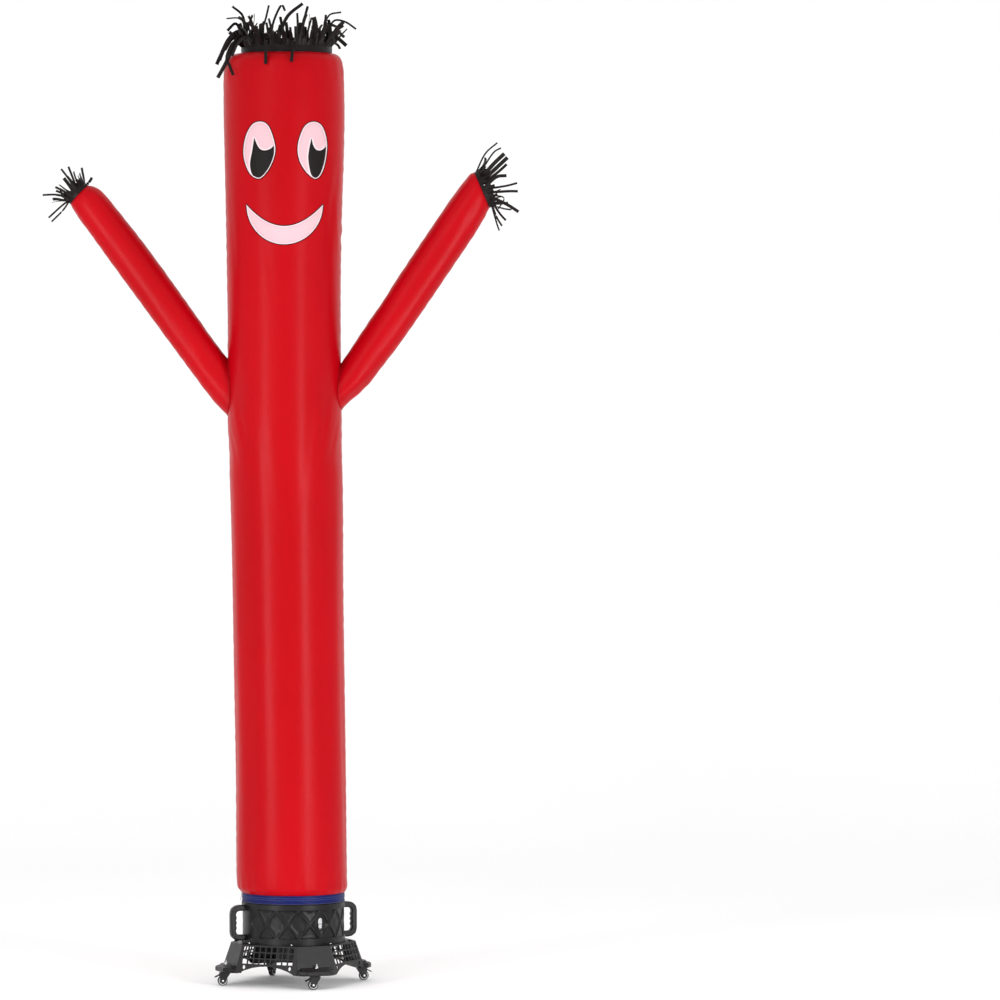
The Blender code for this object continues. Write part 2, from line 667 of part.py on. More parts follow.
def handle_outline():
    """Outline of the D in its radial plane, as (radius, height), with finger scallops inside."""
    top, bottom, reach, corner = HANDLE["top"], HANDLE["bottom"], HANDLE["reach"], HANDLE["corner"]
    seat = DRUM_RADIUS - HANDLE["sink"]
    grip = reach - HANDLE["grip"]
    small = HANDLE["inner_corner"]
    points = [(seat, top)]
    points += arc((reach - corner, top - corner), corner, 90.0, 0.0, 4)
    points += arc((reach - corner, bottom + corner), corner, 0.0, -90.0, 4)
    points.append((seat, bottom))
    low = bottom + HANDLE["leg"]
    high = top - HANDLE["leg"]
    points.append((seat, low))
    points += arc((grip - small, low + small), small, -90.0, 0.0, 2)
    middle = 0.5 * (top + bottom)
    first = middle - 0.5 * HANDLE["scallops"] * HANDLE["scallop_pitch"]
    for i in range(1, 2 * HANDLE["scallops"]):
        deep = HANDLE["scallop_depth"] if i % 2 == 0 else 0.0
        points.append((grip - deep, first + 0.5 * i * HANDLE["scallop_pitch"]))
    points += arc((grip - small, high - small), small, 0.0, 90.0, 2)
    points.append((seat, high))
    return points


def build_handles():
    """Two carrying handles over the side legs, cut to seat on the barrel's rings."""
    rings = [circle(UPPER_RING["radius"] + GAP, HANDLE[end]) for end in ("seat_low", "seat_high")]
    seat = add_object("handle_seat", loft(rings))
    outline = handle_outline()
    for name, angle in (("handle_right", LEG_ANGLE + 90.0), ("handle_left", LEG_ANGLE + 270.0)):
        frame = frame_at(angle)
        half = 0.5 * HANDLE["width"]
        rings = [[frame @ Vector((r, side, z)) for r, z in outline] for side in (-half, half)]
        handle = add_object(name, loft(rings), "black_plastic")
        edge = handle.modifiers.new("edge", "BEVEL")
        edge.width = HANDLE["edge"]
        edge.segments = 1
        edge.limit_method = "ANGLE"
        edge.angle_limit = math.radians(60.0)
        boolean(handle, seat, "DIFFERENCE")


def capsule(half, low, high, steps):
    """Outline of a strip with round ends, as (across, height)."""
    points = arc((0.0, high - half), half, 0.0, 180.0, steps)
    points += arc((0.0, low + half), half, 180.0, 360.0, steps)
    return points


def build_brackets():
    """Tie-down plates on the front and back of the barrel, each with its ring."""
    pitch = 360.0 / ROUND_SEGMENTS
    face = PANEL_RIDGE + GAP
    for name, angle in (("front", LEG_ANGLE + pitch), ("back", LEG_ANGLE + 180.0 - pitch)):
        frame = frame_at(angle)
        outline = capsule(0.5 * BRACKET["width"], BRACKET["bottom"], BRACKET["top"], BRACKET["round_steps"])
        plate = [[frame @ Vector((r, t, z)) for t, z in outline] for r in (face, face + BRACKET["thickness"])]
        add_object("bracket_" + name, loft(plate), "zinc")
        add_tie_ring(name, frame, face + BRACKET["thickness"] + GAP + TIE_RING["wire"])


def add_tie_ring(name, frame, reach):
    """A D-shaped wire ring flat against its plate."""
    half = TIE_RING["half_width"]
    top = TIE_RING["top"]
    drop = TIE_RING["height"] - half
    shoulder, flat = top - TIE_RING["shoulder"], TIE_RING["flat"]
    path = arc((0.0, top - drop), half, 180.0, 360.0, TIE_RING["bow_steps"])
    path += [(half, shoulder), (flat, top), (-flat, top), (-half, shoulder)]
    bm = bmesh.new()
    rings = []
    count = len(path)
    for i, (t, z) in enumerate(path):
        before = Vector(path[i - 1])
        after = Vector(path[(i + 1) % count])
        way = (after - before).normalized()
        across = Vector((way.y, -way.x))
        ring = []
        for s in range(TIE_RING["sides"]):
            turn = 2.0 * math.pi * s / TIE_RING["sides"]
            offset = across * (TIE_RING["wire"] * math.cos(turn))
            lift = TIE_RING["wire"] * math.sin(turn)
            ring.append(frame @ Vector((reach + lift, t + offset.x, z + offset.y)))
        rings.append(add_ring(bm, ring))
    join_rings(bm, rings + rings[:1])
    add_object("tie_ring_" + name, bm, "black_steel")


def octagon(grille, leg, height):
    """Octagon whose sides lie at one distance on the grille faces and at another on the legs."""
    points = []
    for i in range(2 * LEG_COUNT):
        first = math.radians(LEG_ANGLE + GRILLE_OFFSET * i)
        second = first + math.radians(GRILLE_OFFSET)
        near, far = (leg, grille) if i % 2 == 0 else (grille, leg)
        x = (near * math.sin(second) - far * math.sin(first)) / math.sin(second - first)
        y = (far * math.cos(first) - near * math.cos(second)) / math.sin(second - first)
        points.append(AXIS + Vector((x, y, height)))
    return points


def skirt_ring(height, inset):
    """The skirt's octagon at a height, moved in by the wall."""
    share = (BASE_TOP - height) / (BASE_TOP - BASE_BOTTOM)
    sides = {key: BASE_AT_TOP[key] + share * (BASE_AT_BOTTOM[key] - BASE_AT_TOP[key]) for key in BASE_AT_TOP}
    return octagon(sides["grille"] - inset, sides["leg"] - inset, height)


def prism(frame, outline, near, far):
    """An outline of (aside, height) points swept outward between two distances."""
    return [[frame @ Vector((r, t, z)) for t, z in outline] for r in (near, far)]


def base_cuts():
    """Arches, grille cells and slots of all four faces, and the hole under the barrel."""
    bm = bmesh.new()
    add_loft(bm, [circle(FAN_HOLE, BASE_TOP - 2.0 * BASE_WALL), circle(FAN_HOLE, BASE_TOP + BASE_WALL)])
    rise = ARCH["top"] - BASE_BOTTOM
    radius = (ARCH["half_width"] ** 2 + rise**2) / (2.0 * rise)
    sweep = math.degrees(math.asin(ARCH["half_width"] / radius))
    arch = arc((0.0, ARCH["top"] - radius), radius, 90.0 - sweep, 90.0 + sweep, ARCH["steps"])
    arch += [(-ARCH["half_width"], ARCH["foot"]), (ARCH["half_width"], ARCH["foot"])]
    for k in range(LEG_COUNT):
        frame = frame_at(LEG_ANGLE + GRILLE_OFFSET + 90.0 * k)
        add_loft(bm, prism(frame, arch, CUT_IN, CUT_OUT))
        for column in range(CELLS["columns"]):
            t = (column - 0.5 * (CELLS["columns"] - 1)) * CELLS["pitch_x"]
            half = 0.5 * CELLS["width"]
            for row in range(CELLS["rows"]):
                high = CELLS["top"] - row * CELLS["pitch_z"]
                low = high - CELLS["height"]
                cell = ((t - half, low), (t + half, low), (t + half, high), (t - half, high))
                add_loft(bm, prism(frame, cell, CUT_IN, CUT_OUT))
            if column in (0, CELLS["columns"] - 1):
                shape = capsule(0.5 * SLOT["width"], SLOT["bottom"], SLOT["top"], SLOT["steps"])
                slot = [(t + across, z) for across, z in shape]
                add_loft(bm, prism(frame, slot, CUT_IN, CUT_OUT))
    return add_object("base_cuts", bm)


def foot_ring(frame, height, inset):
    """Outline of a foot at a height, drawn in evenly towards its middle."""
    middle = 0.5 * (FOOT_OUTLINE[0][0] + FOOT_OUTLINE[-1][0])
    half = FOOT_OUTLINE[0][1]
    ring = []
    for side, order in ((1.0, FOOT_OUTLINE), (-1.0, FOOT_OUTLINE[::-1])):
        for r, t in order:
            r = middle + (r - middle) * (1.0 - inset / (FOOT_OUTLINE[-1][0] - middle))
            ring.append(frame @ Vector((r, side * t * (1.0 - inset / half), height)))
    return ring


def build_base():
    """Moulded skirt with a flat top, four feet, four grille faces over arches and eight screw bosses."""
    outer = loft([skirt_ring(BASE_TOP, 0.0), skirt_ring(BASE_BOTTOM, 0.0)])
    base = add_object("base", outer, "black_plastic")
    inner = loft([skirt_ring(BASE_TOP - BASE_WALL, BASE_WALL), skirt_ring(HOLLOW_FOOT, BASE_WALL)])
    boolean(base, add_object("base_hollow", inner), "DIFFERENCE")
    boolean(base, base_cuts(), "DIFFERENCE")
    additions = bmesh.new()
    holes = bmesh.new()
    for k in range(LEG_COUNT):
        angle = LEG_ANGLE + 90.0 * k
        frame = frame_at(angle)
        add_loft(additions, [foot_ring(frame, height, inset) for height, inset in FOOT_ROWS])
        centre = polar(angle, SWIVEL_RADIUS, 0.0)
        hole = STUD["radius"] + GAP
        add_loft(holes, [circle(hole, z, centre, STUD["sides"]) for z in STUD_HOLE])
        for aside in (-BOSS["aside"], BOSS["aside"]):
            centre = polar(angle + GRILLE_OFFSET + aside, BOSS["at"], 0.0)
            rows = (BASE_TOP - 0.5 * BASE_WALL, BASE_TOP + BOSS["height"])
            add_loft(additions, [circle(BOSS["radius"], z, centre, BOSS["sides"]) for z in rows])
    boolean(base, add_object("base_feet", additions), "UNION")
    boolean(base, add_object("base_holes", holes), "DIFFERENCE")


def build_caster(name, leg_angle, heading):
    """One caster: its stud and nut, fork with axle, wheel and brake pedal."""
    swivel = polar(leg_angle, SWIVEL_RADIUS, 0.0)
    frame = Matrix.Translation(swivel) @ Matrix.Rotation(math.radians(heading), 4, "Z")
    top = FOOT_ROWS[-1][0] + GAP
    rows = (
        # radius, height
        (STUD["plate"], FORK["crown_top"] + GAP),
        (STUD["plate"], BASE_BOTTOM - GAP),
        (STUD["radius"], BASE_BOTTOM - GAP),
        (STUD["radius"], top),
        (STUD["washer"], top),
        (STUD["washer"], top + WASHER_TOP),
        (STUD["nut"], top + WASHER_TOP),
        (STUD["nut"], top + NUT_TOP),
        (STUD["tip"], top + NUT_TOP),
        (STUD["tip"], STUD["top"]),
    )
    stud = loft([circle(radius, height, swivel, STUD["sides"]) for radius, height in rows])
    add_object("caster_stud_" + name, stud, "zinc")
    build_fork(name, frame)
    build_wheel(name, frame)
    build_pedal(name, frame)


def build_fork(name, frame):
    """A bent fork with sloping cheeks, and the axle bolt through them."""
    half, inner = FORK["half_width"], FORK["inner"]
    low, under, over = FORK["foot"], FORK["crown_bottom"], FORK["crown_top"]
    section = ((-half, low), (-inner, low), (-inner, under), (inner, under), (inner, low), (half, low),
               (half, over), (-half, over))
    rings = [[Vector((r, t, z)) for t, z in section] for r in (FORK["back"], FORK["front"])]
    bm = loft(rings)
    bmesh.ops.recalc_face_normals(bm, faces=bm.faces)
    slopes = (
        # top point and bottom point of each sloping edge, as (along, height), and the side cut away
        ((FORK["back"], under), (FORK["foot_back"], low), -1.0),
        ((FORK["front"], FORK["nose"]), (FORK["foot_front"], low), 1.0),
    )
    for (top_r, top_z), (low_r, low_z), side in slopes:
        edge = Vector((low_r - top_r, 0.0, low_z - top_z))
        normal = Vector((-edge.z, 0.0, edge.x)).normalized()
        if normal.x * side < 0.0:
            normal.negate()
        parts = bm.verts[:] + bm.edges[:] + bm.faces[:]
        cut = bmesh.ops.bisect_plane(bm, geom=parts, plane_co=Vector((top_r, 0.0, top_z)), plane_no=normal,
                                     clear_outer=True)
        edges = [item for item in cut["geom_cut"] if isinstance(item, bmesh.types.BMEdge)]
        bmesh.ops.edgeloop_fill(bm, edges=edges)
    bm.transform(frame)
    fork = add_object("caster_fork_" + name, bm, "black_steel")
    axle = axle_frame(frame)
    rows = (
        # radius, place along the axle
        (AXLE["head"], -AXLE["half_length"]),
        (AXLE["head"], -FORK["inner"] - AXLE["bite"]),
        (AXLE["radius"], -FORK["inner"] - AXLE["bite"]),
        (AXLE["radius"], FORK["inner"] + AXLE["bite"]),
        (AXLE["head"], FORK["inner"] + AXLE["bite"]),
        (AXLE["head"], AXLE["half_length"]),
    )
    rings = []
    for radius, place in rows:
        rings.append([axle @ Vector(p) for p in circle(radius, place, Vector(), AXLE["sides"])])
    boolean(fork, add_object("caster_axle_" + name, loft(rings)), "UNION")


def axle_frame(frame):
    """The frame of a caster's axle, with its z along the axle."""
    return frame @ Matrix.Translation((TRAIL, 0.0, AXLE_HEIGHT)) @ Matrix.Rotation(math.pi / 2.0, 4, "X")


def build_wheel(name, frame):
    """A wheel with a rounded tread, hub bosses and a bore for its axle."""
    r, w = WHEEL["radius"], WHEEL["half_width"]
    tread, shoulder = WHEEL["tread"], WHEEL["shoulder"]
    hub, hub_r, bore = WHEEL["hub"], WHEEL["hub_radius"], WHEEL["bore"]
    profile = (
        # radius, place along the axle
        (bore, -hub), (hub_r, -hub), (shoulder, -w), (r, -tread),
        (r, tread), (shoulder, w), (hub_r, hub), (bore, hub),
    )
    # A flat of the tread lies level on the floor.
    first = -90.0 + 180.0 / WHEEL["segments"]
    bm = turned_ring(profile, Vector(), WHEEL["segments"], first)
    bm.transform(axle_frame(frame))
    add_object("wheel_" + name, bm, "tyre_black")


def build_pedal(name, frame):
    """A wedge-shaped brake pedal pivoted between the fork's cheeks."""
    sides = (-PEDAL_HALF_WIDTH, PEDAL_HALF_WIDTH)
    rings = [[frame @ Vector((r, side, z)) for r, z in PEDAL] for side in sides]
    add_object("pedal_" + name, loft(rings), "black_plastic")


def build_motor():
    """The fan's motor and the cross bracket that hangs it below the base's top."""
    motor = loft([circle(radius, height, AXIS, MOTOR_SEGMENTS) for radius, height in MOTOR])
    add_object("motor", motor, "black_steel")
    half, reach = CROSS["half_width"], CROSS["reach"]
    corners = []
    for quarter in range(4):
        turn = Matrix.Rotation(quarter * math.pi / 2.0, 2)
        corners += [turn @ Vector(corner) for corner in ((reach, -half), (reach, half), (half, half))]
    frame = frame_at(LEG_ANGLE)
    rings = [[frame @ Vector((x, y, z)) for x, y in corners] for z in (CROSS["bottom"], CROSS["top"])]
    add_object("motor_bracket", loft(rings), "zinc")


def build():
    """Build every piece of the dancer and its blower."""
    clear_scene()
    build_tube_and_arms()
    build_fringes()
    build_face()
    build_barrel()
    build_bands()
    build_handles()
    build_brackets()
    build_base()
    build_motor()
    for k, name in enumerate(CASTER_NAMES):
        build_caster(name, LEG_ANGLE + 90.0 * k, CASTER_HEADINGS[k])


build()
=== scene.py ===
"""Looks of the inflatable air dancer: nylon cloth, sewn face, strip fringes and its moulded blower."""

import bisect
import json
import math
import random

import bmesh
import bpy
from mathutils import Matrix, Vector
from mathutils.geometry import delaunay_2d_cdt

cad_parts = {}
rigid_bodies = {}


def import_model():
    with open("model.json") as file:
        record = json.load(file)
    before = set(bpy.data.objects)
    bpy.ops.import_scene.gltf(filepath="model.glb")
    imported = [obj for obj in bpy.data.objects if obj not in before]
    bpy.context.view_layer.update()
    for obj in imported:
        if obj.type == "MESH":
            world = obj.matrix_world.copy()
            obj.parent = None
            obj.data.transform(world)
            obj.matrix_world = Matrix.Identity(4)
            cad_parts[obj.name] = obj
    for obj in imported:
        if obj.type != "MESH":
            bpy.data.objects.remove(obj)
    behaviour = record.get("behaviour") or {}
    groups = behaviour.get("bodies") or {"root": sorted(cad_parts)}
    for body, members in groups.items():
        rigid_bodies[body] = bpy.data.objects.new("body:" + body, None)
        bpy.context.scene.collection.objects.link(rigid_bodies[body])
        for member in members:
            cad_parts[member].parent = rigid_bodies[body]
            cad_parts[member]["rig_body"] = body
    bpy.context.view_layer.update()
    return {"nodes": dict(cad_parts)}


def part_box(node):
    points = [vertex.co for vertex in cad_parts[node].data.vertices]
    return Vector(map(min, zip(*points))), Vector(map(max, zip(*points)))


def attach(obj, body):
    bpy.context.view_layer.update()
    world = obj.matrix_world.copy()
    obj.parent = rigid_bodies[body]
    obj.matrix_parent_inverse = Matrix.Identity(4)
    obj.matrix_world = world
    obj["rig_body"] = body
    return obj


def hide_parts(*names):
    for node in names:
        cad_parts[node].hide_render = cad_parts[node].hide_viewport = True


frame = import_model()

AXIS = Vector((0.050, 0.0, 0.0))
LEG_ANGLE = -68.9
CASTER_NAMES = ("front", "right", "back", "left")

# The tube below its shoulder: height, lean of its centre along X from the blower's axis, radius
TUBE = (
    (0.380, 0.0000, 0.2152), (0.388, -0.0010, 0.2210), (0.402, -0.0043, 0.2285), (0.472, -0.0070, 0.2303),
    (0.846, -0.0095, 0.2292), (1.220, -0.0150, 0.2300), (1.594, -0.0205, 0.2305), (1.960, -0.0250, 0.2335),
    (2.210, -0.0310, 0.2362), (2.340, -0.0340, 0.2372), (2.470, -0.0350, 0.2360), (2.600, -0.0355, 0.2352),
    (2.740, -0.0357, 0.2350), (2.960, -0.0370, 0.2370), (3.215, -0.0365, 0.2418), (3.464, -0.0350, 0.2485),
    (3.626, -0.0355, 0.2512), (3.775, -0.0370, 0.2500), (3.826, -0.0360, 0.2425),
)
# The rounded shoulder above it, with the same columns
SHOULDER = (
    (3.8385, -0.0348, 0.2362), (3.8480, -0.0334, 0.2286),
    (3.8550, -0.0318, 0.2188), (3.8592, -0.0300, 0.2080),
    (3.8617, -0.0280, 0.1955), (3.8630, -0.0250, 0.1800),
)
# Soft dips pressed into the tube: direction in degrees, height, spread in degrees, reach, depth
CREASES = (
    (-38.0, 2.470, 16.0, 0.080, 0.008), (-142.0, 2.470, 16.0, 0.080, 0.007),
    (38.0, 2.340, 16.0, 0.090, 0.006),
    (140.0, 2.340, 16.0, 0.090, 0.006), (-20.0, 2.210, 20.0, 0.070, 0.006),
    (-165.0, 2.210, 18.0, 0.070, 0.005),
    (100.0, 1.594, 30.0, 0.200, 0.006),
)
# Folds of the tube: direction in degrees, height, spread in degrees, reach, slant in degrees a metre, swell
FOLDS = (
    (-112.0, 1.55, 9.0, 1.00, 0.0, 0.0016), (-72.0, 1.75, 8.0, 1.15, 1.0, 0.0018),
    (-92.0, 1.30, 8.0, 0.80, 0.0, -0.0016),
    (-50.0, 1.10, 7.0, 0.60, -4.0, -0.0022), (-30.0, 1.55, 8.0, 0.75, 5.0, 0.0026),
    (-133.0, 1.05, 7.0, 0.65, 4.0, -0.0024),
    (-152.0, 1.45, 7.0, 0.70, -5.0, 0.0026), (-14.0, 0.90, 6.0, 0.45, -8.0, -0.0026),
    (-168.0, 0.85, 6.0, 0.45, 9.0, -0.0026),
    (24.0, 1.20, 9.0, 0.80, 6.0, 0.0030), (48.0, 1.00, 8.0, 0.70, -6.0, -0.0032),
    (74.0, 1.45, 9.0, 0.90, 4.0, 0.0030),
    (102.0, 1.10, 8.0, 0.75, -4.0, -0.0030), (128.0, 1.40, 9.0, 0.85, 5.0, 0.0030),
    (154.0, 1.05, 8.0, 0.70, -7.0, -0.0028),
    (-60.0, 2.75, 9.0, 0.45, 3.0, -0.0016), (-122.0, 2.80, 9.0, 0.45, -3.0, -0.0016),
    (-36.0, 3.10, 6.0, 0.22, 30.0, -0.0022),
    (-30.0, 3.27, 5.0, 0.10, 60.0, -0.0018), (-22.0, 3.15, 4.0, 0.12, -45.0, 0.0018),
    (-104.0, 3.02, 5.0, 0.16, -25.0, -0.0016),
    (-148.0, 3.05, 6.0, 0.22, -30.0, -0.0016), (60.0, 3.05, 9.0, 0.45, 5.0, 0.0028),
    (96.0, 3.20, 8.0, 0.40, -6.0, -0.0026),
    (130.0, 3.00, 9.0, 0.40, 5.0, 0.0026), (-45.0, 2.30, 5.0, 0.09, 70.0, -0.0030),
    (-36.0, 2.36, 4.0, 0.08, 80.0, 0.0026),
    (-28.0, 2.27, 4.0, 0.07, 90.0, -0.0028), (-135.0, 2.30, 5.0, 0.09, -70.0, -0.0026),
    (-146.0, 2.35, 4.0, 0.08, -80.0, 0.0022),
    (-154.0, 2.24, 4.0, 0.07, -90.0, -0.0024), (-66.0, 2.20, 6.0, 0.20, 35.0, -0.0016),
    (-108.0, 2.16, 6.0, 0.20, -30.0, -0.0014),
    (30.0, 2.30, 5.0, 0.09, -70.0, -0.0030), (150.0, 2.32, 5.0, 0.09, 70.0, -0.0030),
    (-82.0, 0.62, 10.0, 0.25, 0.0, 0.0010),
    (-40.0, 0.66, 8.0, 0.22, 10.0, -0.0010), (-140.0, 0.60, 8.0, 0.22, -12.0, -0.0010),
)
TUBE_SEGMENTS = 144
TUBE_STEP = 0.0104
CLOTH = 0.0009

LEFT_ARM = {
    "name": "arm_left", "root": Vector((-0.2285, 0.0, 2.475)), "angle": 36.3, "side": -1, "seed": 21,
    # along, aside, half_width, half_depth, tilt
    "rows": (
        (-0.220, -0.0100, 0.0620, 0.0720, 0.0), (-0.090, -0.0060, 0.0690, 0.0745, 0.0),
        (-0.008, -0.0020, 0.0755, 0.0760, 0.0), (0.080, -0.0012, 0.0766, 0.0765, 0.0),
        (0.289, -0.0015, 0.0773, 0.0765, 0.0), (0.480, -0.0030, 0.0785, 0.0770, 0.0),
        (0.640, -0.0035, 0.0790, 0.0770, 0.0), (0.847, -0.0014, 0.0752, 0.0740, 0.0),
        (0.930, 0.0010, 0.0730, 0.0710, 1.0), (0.965, 0.0030, 0.0690, 0.0680, 4.0),
        (0.990, 0.0080, 0.0620, 0.0620, 8.0), (1.006, 0.0150, 0.0530, 0.0540, 11.0),
    ),
    # place along, direction round, reach along, spread in degrees, swell
    "folds": (
        (0.06, -60.0, 0.05, 22.0, -0.0040), (0.12, -95.0, 0.05, 25.0, 0.0030),
        (0.15, -50.0, 0.06, 20.0, -0.0030),
        (0.30, -110.0, 0.16, 18.0, 0.0022), (0.42, -60.0, 0.20, 16.0, -0.0024),
        (0.62, -100.0, 0.22, 16.0, 0.0020),
        (0.75, -45.0, 0.15, 18.0, -0.0022), (0.30, 80.0, 0.20, 20.0, -0.0028),
        (0.60, 110.0, 0.20, 20.0, 0.0026),
        (0.88, -85.0, 0.06, 22.0, -0.0020), (0.10, 100.0, 0.06, 24.0, -0.0036),
        (0.20, 175.0, 0.07, 20.0, -0.0022),
    ),
}
RIGHT_ARM = {
    "name": "arm_right", "root": Vector((0.2535, 0.0, 2.442)), "angle": 33.5, "side": 1, "seed": 22,
    "rows": (
        (-0.220, -0.0300, 0.0500, 0.0740, 0.0), (-0.030, -0.0235, 0.0570, 0.0770, 0.0),
        (0.060, -0.0105, 0.0680, 0.0785, 0.0), (0.124, -0.0045, 0.0730, 0.0790, 0.0),
        (0.180, -0.0030, 0.0745, 0.0790, 0.0), (0.280, 0.0007, 0.0785, 0.0790, 0.0),
        (0.400, 0.0030, 0.0808, 0.0790, 0.0), (0.700, 0.0055, 0.0826, 0.0790, 0.0),
        (0.850, 0.0070, 0.0825, 0.0780, 0.0), (0.925, 0.0070, 0.0815, 0.0770, 10.0),
        (0.985, 0.0080, 0.0840, 0.0755, 24.0), (1.018, 0.0090, 0.0850, 0.0730, 31.0),
        (1.033, 0.0130, 0.0800, 0.0680, 33.0),
    ),
    "folds": (
        (0.03, -35.0, 0.05, 20.0, -0.0045), (0.08, -70.0, 0.05, 22.0, 0.0034),
        (0.12, -30.0, 0.06, 18.0, -0.0034),
        (0.30, -100.0, 0.16, 18.0, 0.0022), (0.40, -55.0, 0.20, 16.0, 0.0024),
        (0.66, -95.0, 0.22, 16.0, -0.0018),
        (0.72, -50.0, 0.15, 18.0, 0.0022), (0.34, 85.0, 0.20, 20.0, -0.0028),
        (0.62, 105.0, 0.20, 20.0, 0.0026),
        (0.90, -70.0, 0.05, 22.0, -0.0024), (0.09, 95.0, 0.06, 24.0, -0.0036),
        (0.42, 178.0, 0.06, 20.0, -0.0030),
    ),
}
ARM_SEGMENTS = 72
ARM_ROWS = 150

EYE_HEIGHT = 3.4530
LEFT_EYE_X = -0.0789
RIGHT_EYE_X = 0.1379
LEFT_EYE = (
    (0.003, 0.119), (0.031, 0.108), (0.051, 0.073), (0.0665, 0.009), (0.056, -0.044), (0.030, -0.091),
    (-0.002, -0.116), (-0.039, -0.097), (-0.063, -0.044), (-0.068, 0.009), (-0.055, 0.068), (-0.029, 0.108),
)
RIGHT_EYE = (
    (0.009, 0.119), (0.041, 0.100), (0.059, 0.041), (0.0565, -0.023), (0.041, -0.086), (0.014, -0.116),
    (-0.023, -0.091), (-0.0515, -0.044), (-0.060, 0.009), (-0.049, 0.062), (-0.026, 0.105),
)
# Each pupil from its left tip over the notch to its right tip, then down and round its foot
LEFT_PUPIL = (
    (-0.022, 0.054), (-0.010, 0.024), (0.003, 0.006), (0.021, 0.000), (0.042, 0.005), (0.060, 0.0185),
    (0.059, -0.022), (0.046, -0.0675), (0.021, -0.103),
    (-0.006, -0.1145), (-0.031, -0.097), (-0.040, -0.055),
    (-0.030, 0.003),
)
RIGHT_PUPIL = (
    (-0.003, 0.052), (0.003, 0.025), (0.014, 0.006), (0.030, 0.001), (0.044, 0.007), (0.055, 0.0205),
    (0.0545, -0.022), (0.042, -0.068), (0.027, -0.105),
    (0.016, -0.1145), (-0.005, -0.097), (-0.016, -0.038),
    (-0.013, 0.003),
)
PUPIL_TIPS = (0, 5)
# How far the edge ribbons and the borders reach, from outside the patch's outline to inside it
EDGE_REACH = (-0.0036, 0.0008)
EYE_BORDER_REACH = (0.0006, 0.0046)
MOUTH_BORDER_REACH = (0.0006, 0.0042)
MOUTH = {"x": 0.023, "z": 3.233, "half_width": 0.158, "lower_depth": 0.166, "upper_depth": 0.090,
         "steps": 14}


def polar(angle, radius, height):
    """A point about the blower's axis, from an angle in degrees."""
    turn = math.radians(angle)
    return Vector((AXIS.x + radius * math.cos(turn), AXIS.y + radius * math.sin(turn), height))


def frame_at(angle):
    """Frame about the blower's axis: X outward at the angle, Y along the turn, Z up."""
    return Matrix.Translation(AXIS) @ Matrix.Rotation(math.radians(angle), 4, "Z")


def slopes(keys, values):
    """Slopes of a curve that never swings past its own points."""
    steps = [(values[i + 1] - values[i]) / (keys[i + 1] - keys[i]) for i in range(len(keys) - 1)]
    found = [steps[0]]
    for a, b in zip(steps, steps[1:]):
        found.append(0.0 if a * b <= 0.0 else 2.0 * a * b / (a + b))
    return found + [steps[-1]]


class Curve:
    """Smooth reading of a table's columns by its first one."""

    def __init__(self, rows):
        self.keys = [row[0] for row in rows]
        self.columns = [[row[c] for row in rows] for c in range(1, len(rows[0]))]
        self.slopes = [slopes(self.keys, column) for column in self.columns]

    def at(self, key):
        """Every column at one key."""
        key = min(max(key, self.keys[0]), self.keys[-1])
        i = min(max(bisect.bisect_right(self.keys, key) - 1, 0), len(self.keys) - 2)
        span = self.keys[i + 1] - self.keys[i]
        t = (key - self.keys[i]) / span
        h00 = (1.0 + 2.0 * t) * (1.0 - t) ** 2
        h10 = t * (1.0 - t) ** 2
        h01 = t * t * (3.0 - 2.0 * t)
        h11 = t * t * (t - 1.0)
        return [h00 * c[i] + h10 * span * s[i] + h01 * c[i + 1] + h11 * span * s[i + 1]
                for c, s in zip(self.columns, self.slopes)]


TUBE_CURVE = Curve(TUBE)


def turn_away(angle, direction):
    """Degrees from a direction, from -180 to 180."""
    return (angle - direction + 180.0) % 360.0 - 180.0


def ripple(place, wave, seed):
    """Uneven waves from -1 to 1 along a line."""
    return 0.6 * math.sin(2.0 * math.pi * place / wave + seed) + 0.4 * math.sin(
        2.0 * math.pi * place / (1.63 * wave) + 2.3 * seed)


def tube_relief(angle, height):
    """How far the tube stands out of its plain form at a direction and a height."""
    out = 0.0
    for direction, level, spread, reach, depth in CREASES:
        away = turn_away(angle, direction) / spread
        out -= depth * math.exp(-away * away - ((height - level) / reach) ** 2)
    for direction, level, spread, reach, slant, swell in FOLDS:
        rise = height - level
        if abs(rise) > 2.5 * reach:
            continue
        away = turn_away(angle, direction + slant * rise) / spread
        if abs(away) < 3.0:
            out += swell * math.exp(-away * away - (rise / reach) ** 2)
    # Puckers along the two side seams, and gathers above the foot's hem
    for seam, seed in ((2.0, 0.7), (178.0, 3.1)):
        away = abs(turn_away(angle, seam))
        if away < 24.0:
            strength = 0.35 + 0.65 * abs(ripple(height, 0.61, seed))
            near_elbow = 1.0 + 1.6 * math.exp(-(((height - 3.12) / 0.14) ** 2))
            wave = ripple(height + 0.02 * ripple(height, 0.37, seed), 0.052, seed)
            out += 0.0012 * near_elbow * strength * wave * math.exp(-((away / 9.0) ** 2))
            out -= 0.0010 * math.exp(-((away / 1.6) ** 2))
    over_foot = math.exp(-(max(height - 0.402, 0.0) / 0.055) ** 2)
    if over_foot > 0.01:
        out += 0.0012 * over_foot * ripple(math.radians(angle) * 0.225, 0.048, 1.9)
    fade = min(1.0, max(0.0, (3.85 - height) / 0.10)) * min(1.0, max(0.0, (height - 0.379) / 0.02))
    out = out * fade
    # The seam that closes the shoulder round the vent
    under_top = height - 3.790
    gathered = math.exp(-((under_top / 0.05) ** 2))
    return out + 0.0012 * gathered * ripple(math.radians(angle) * 0.24, 0.075, 4.0)


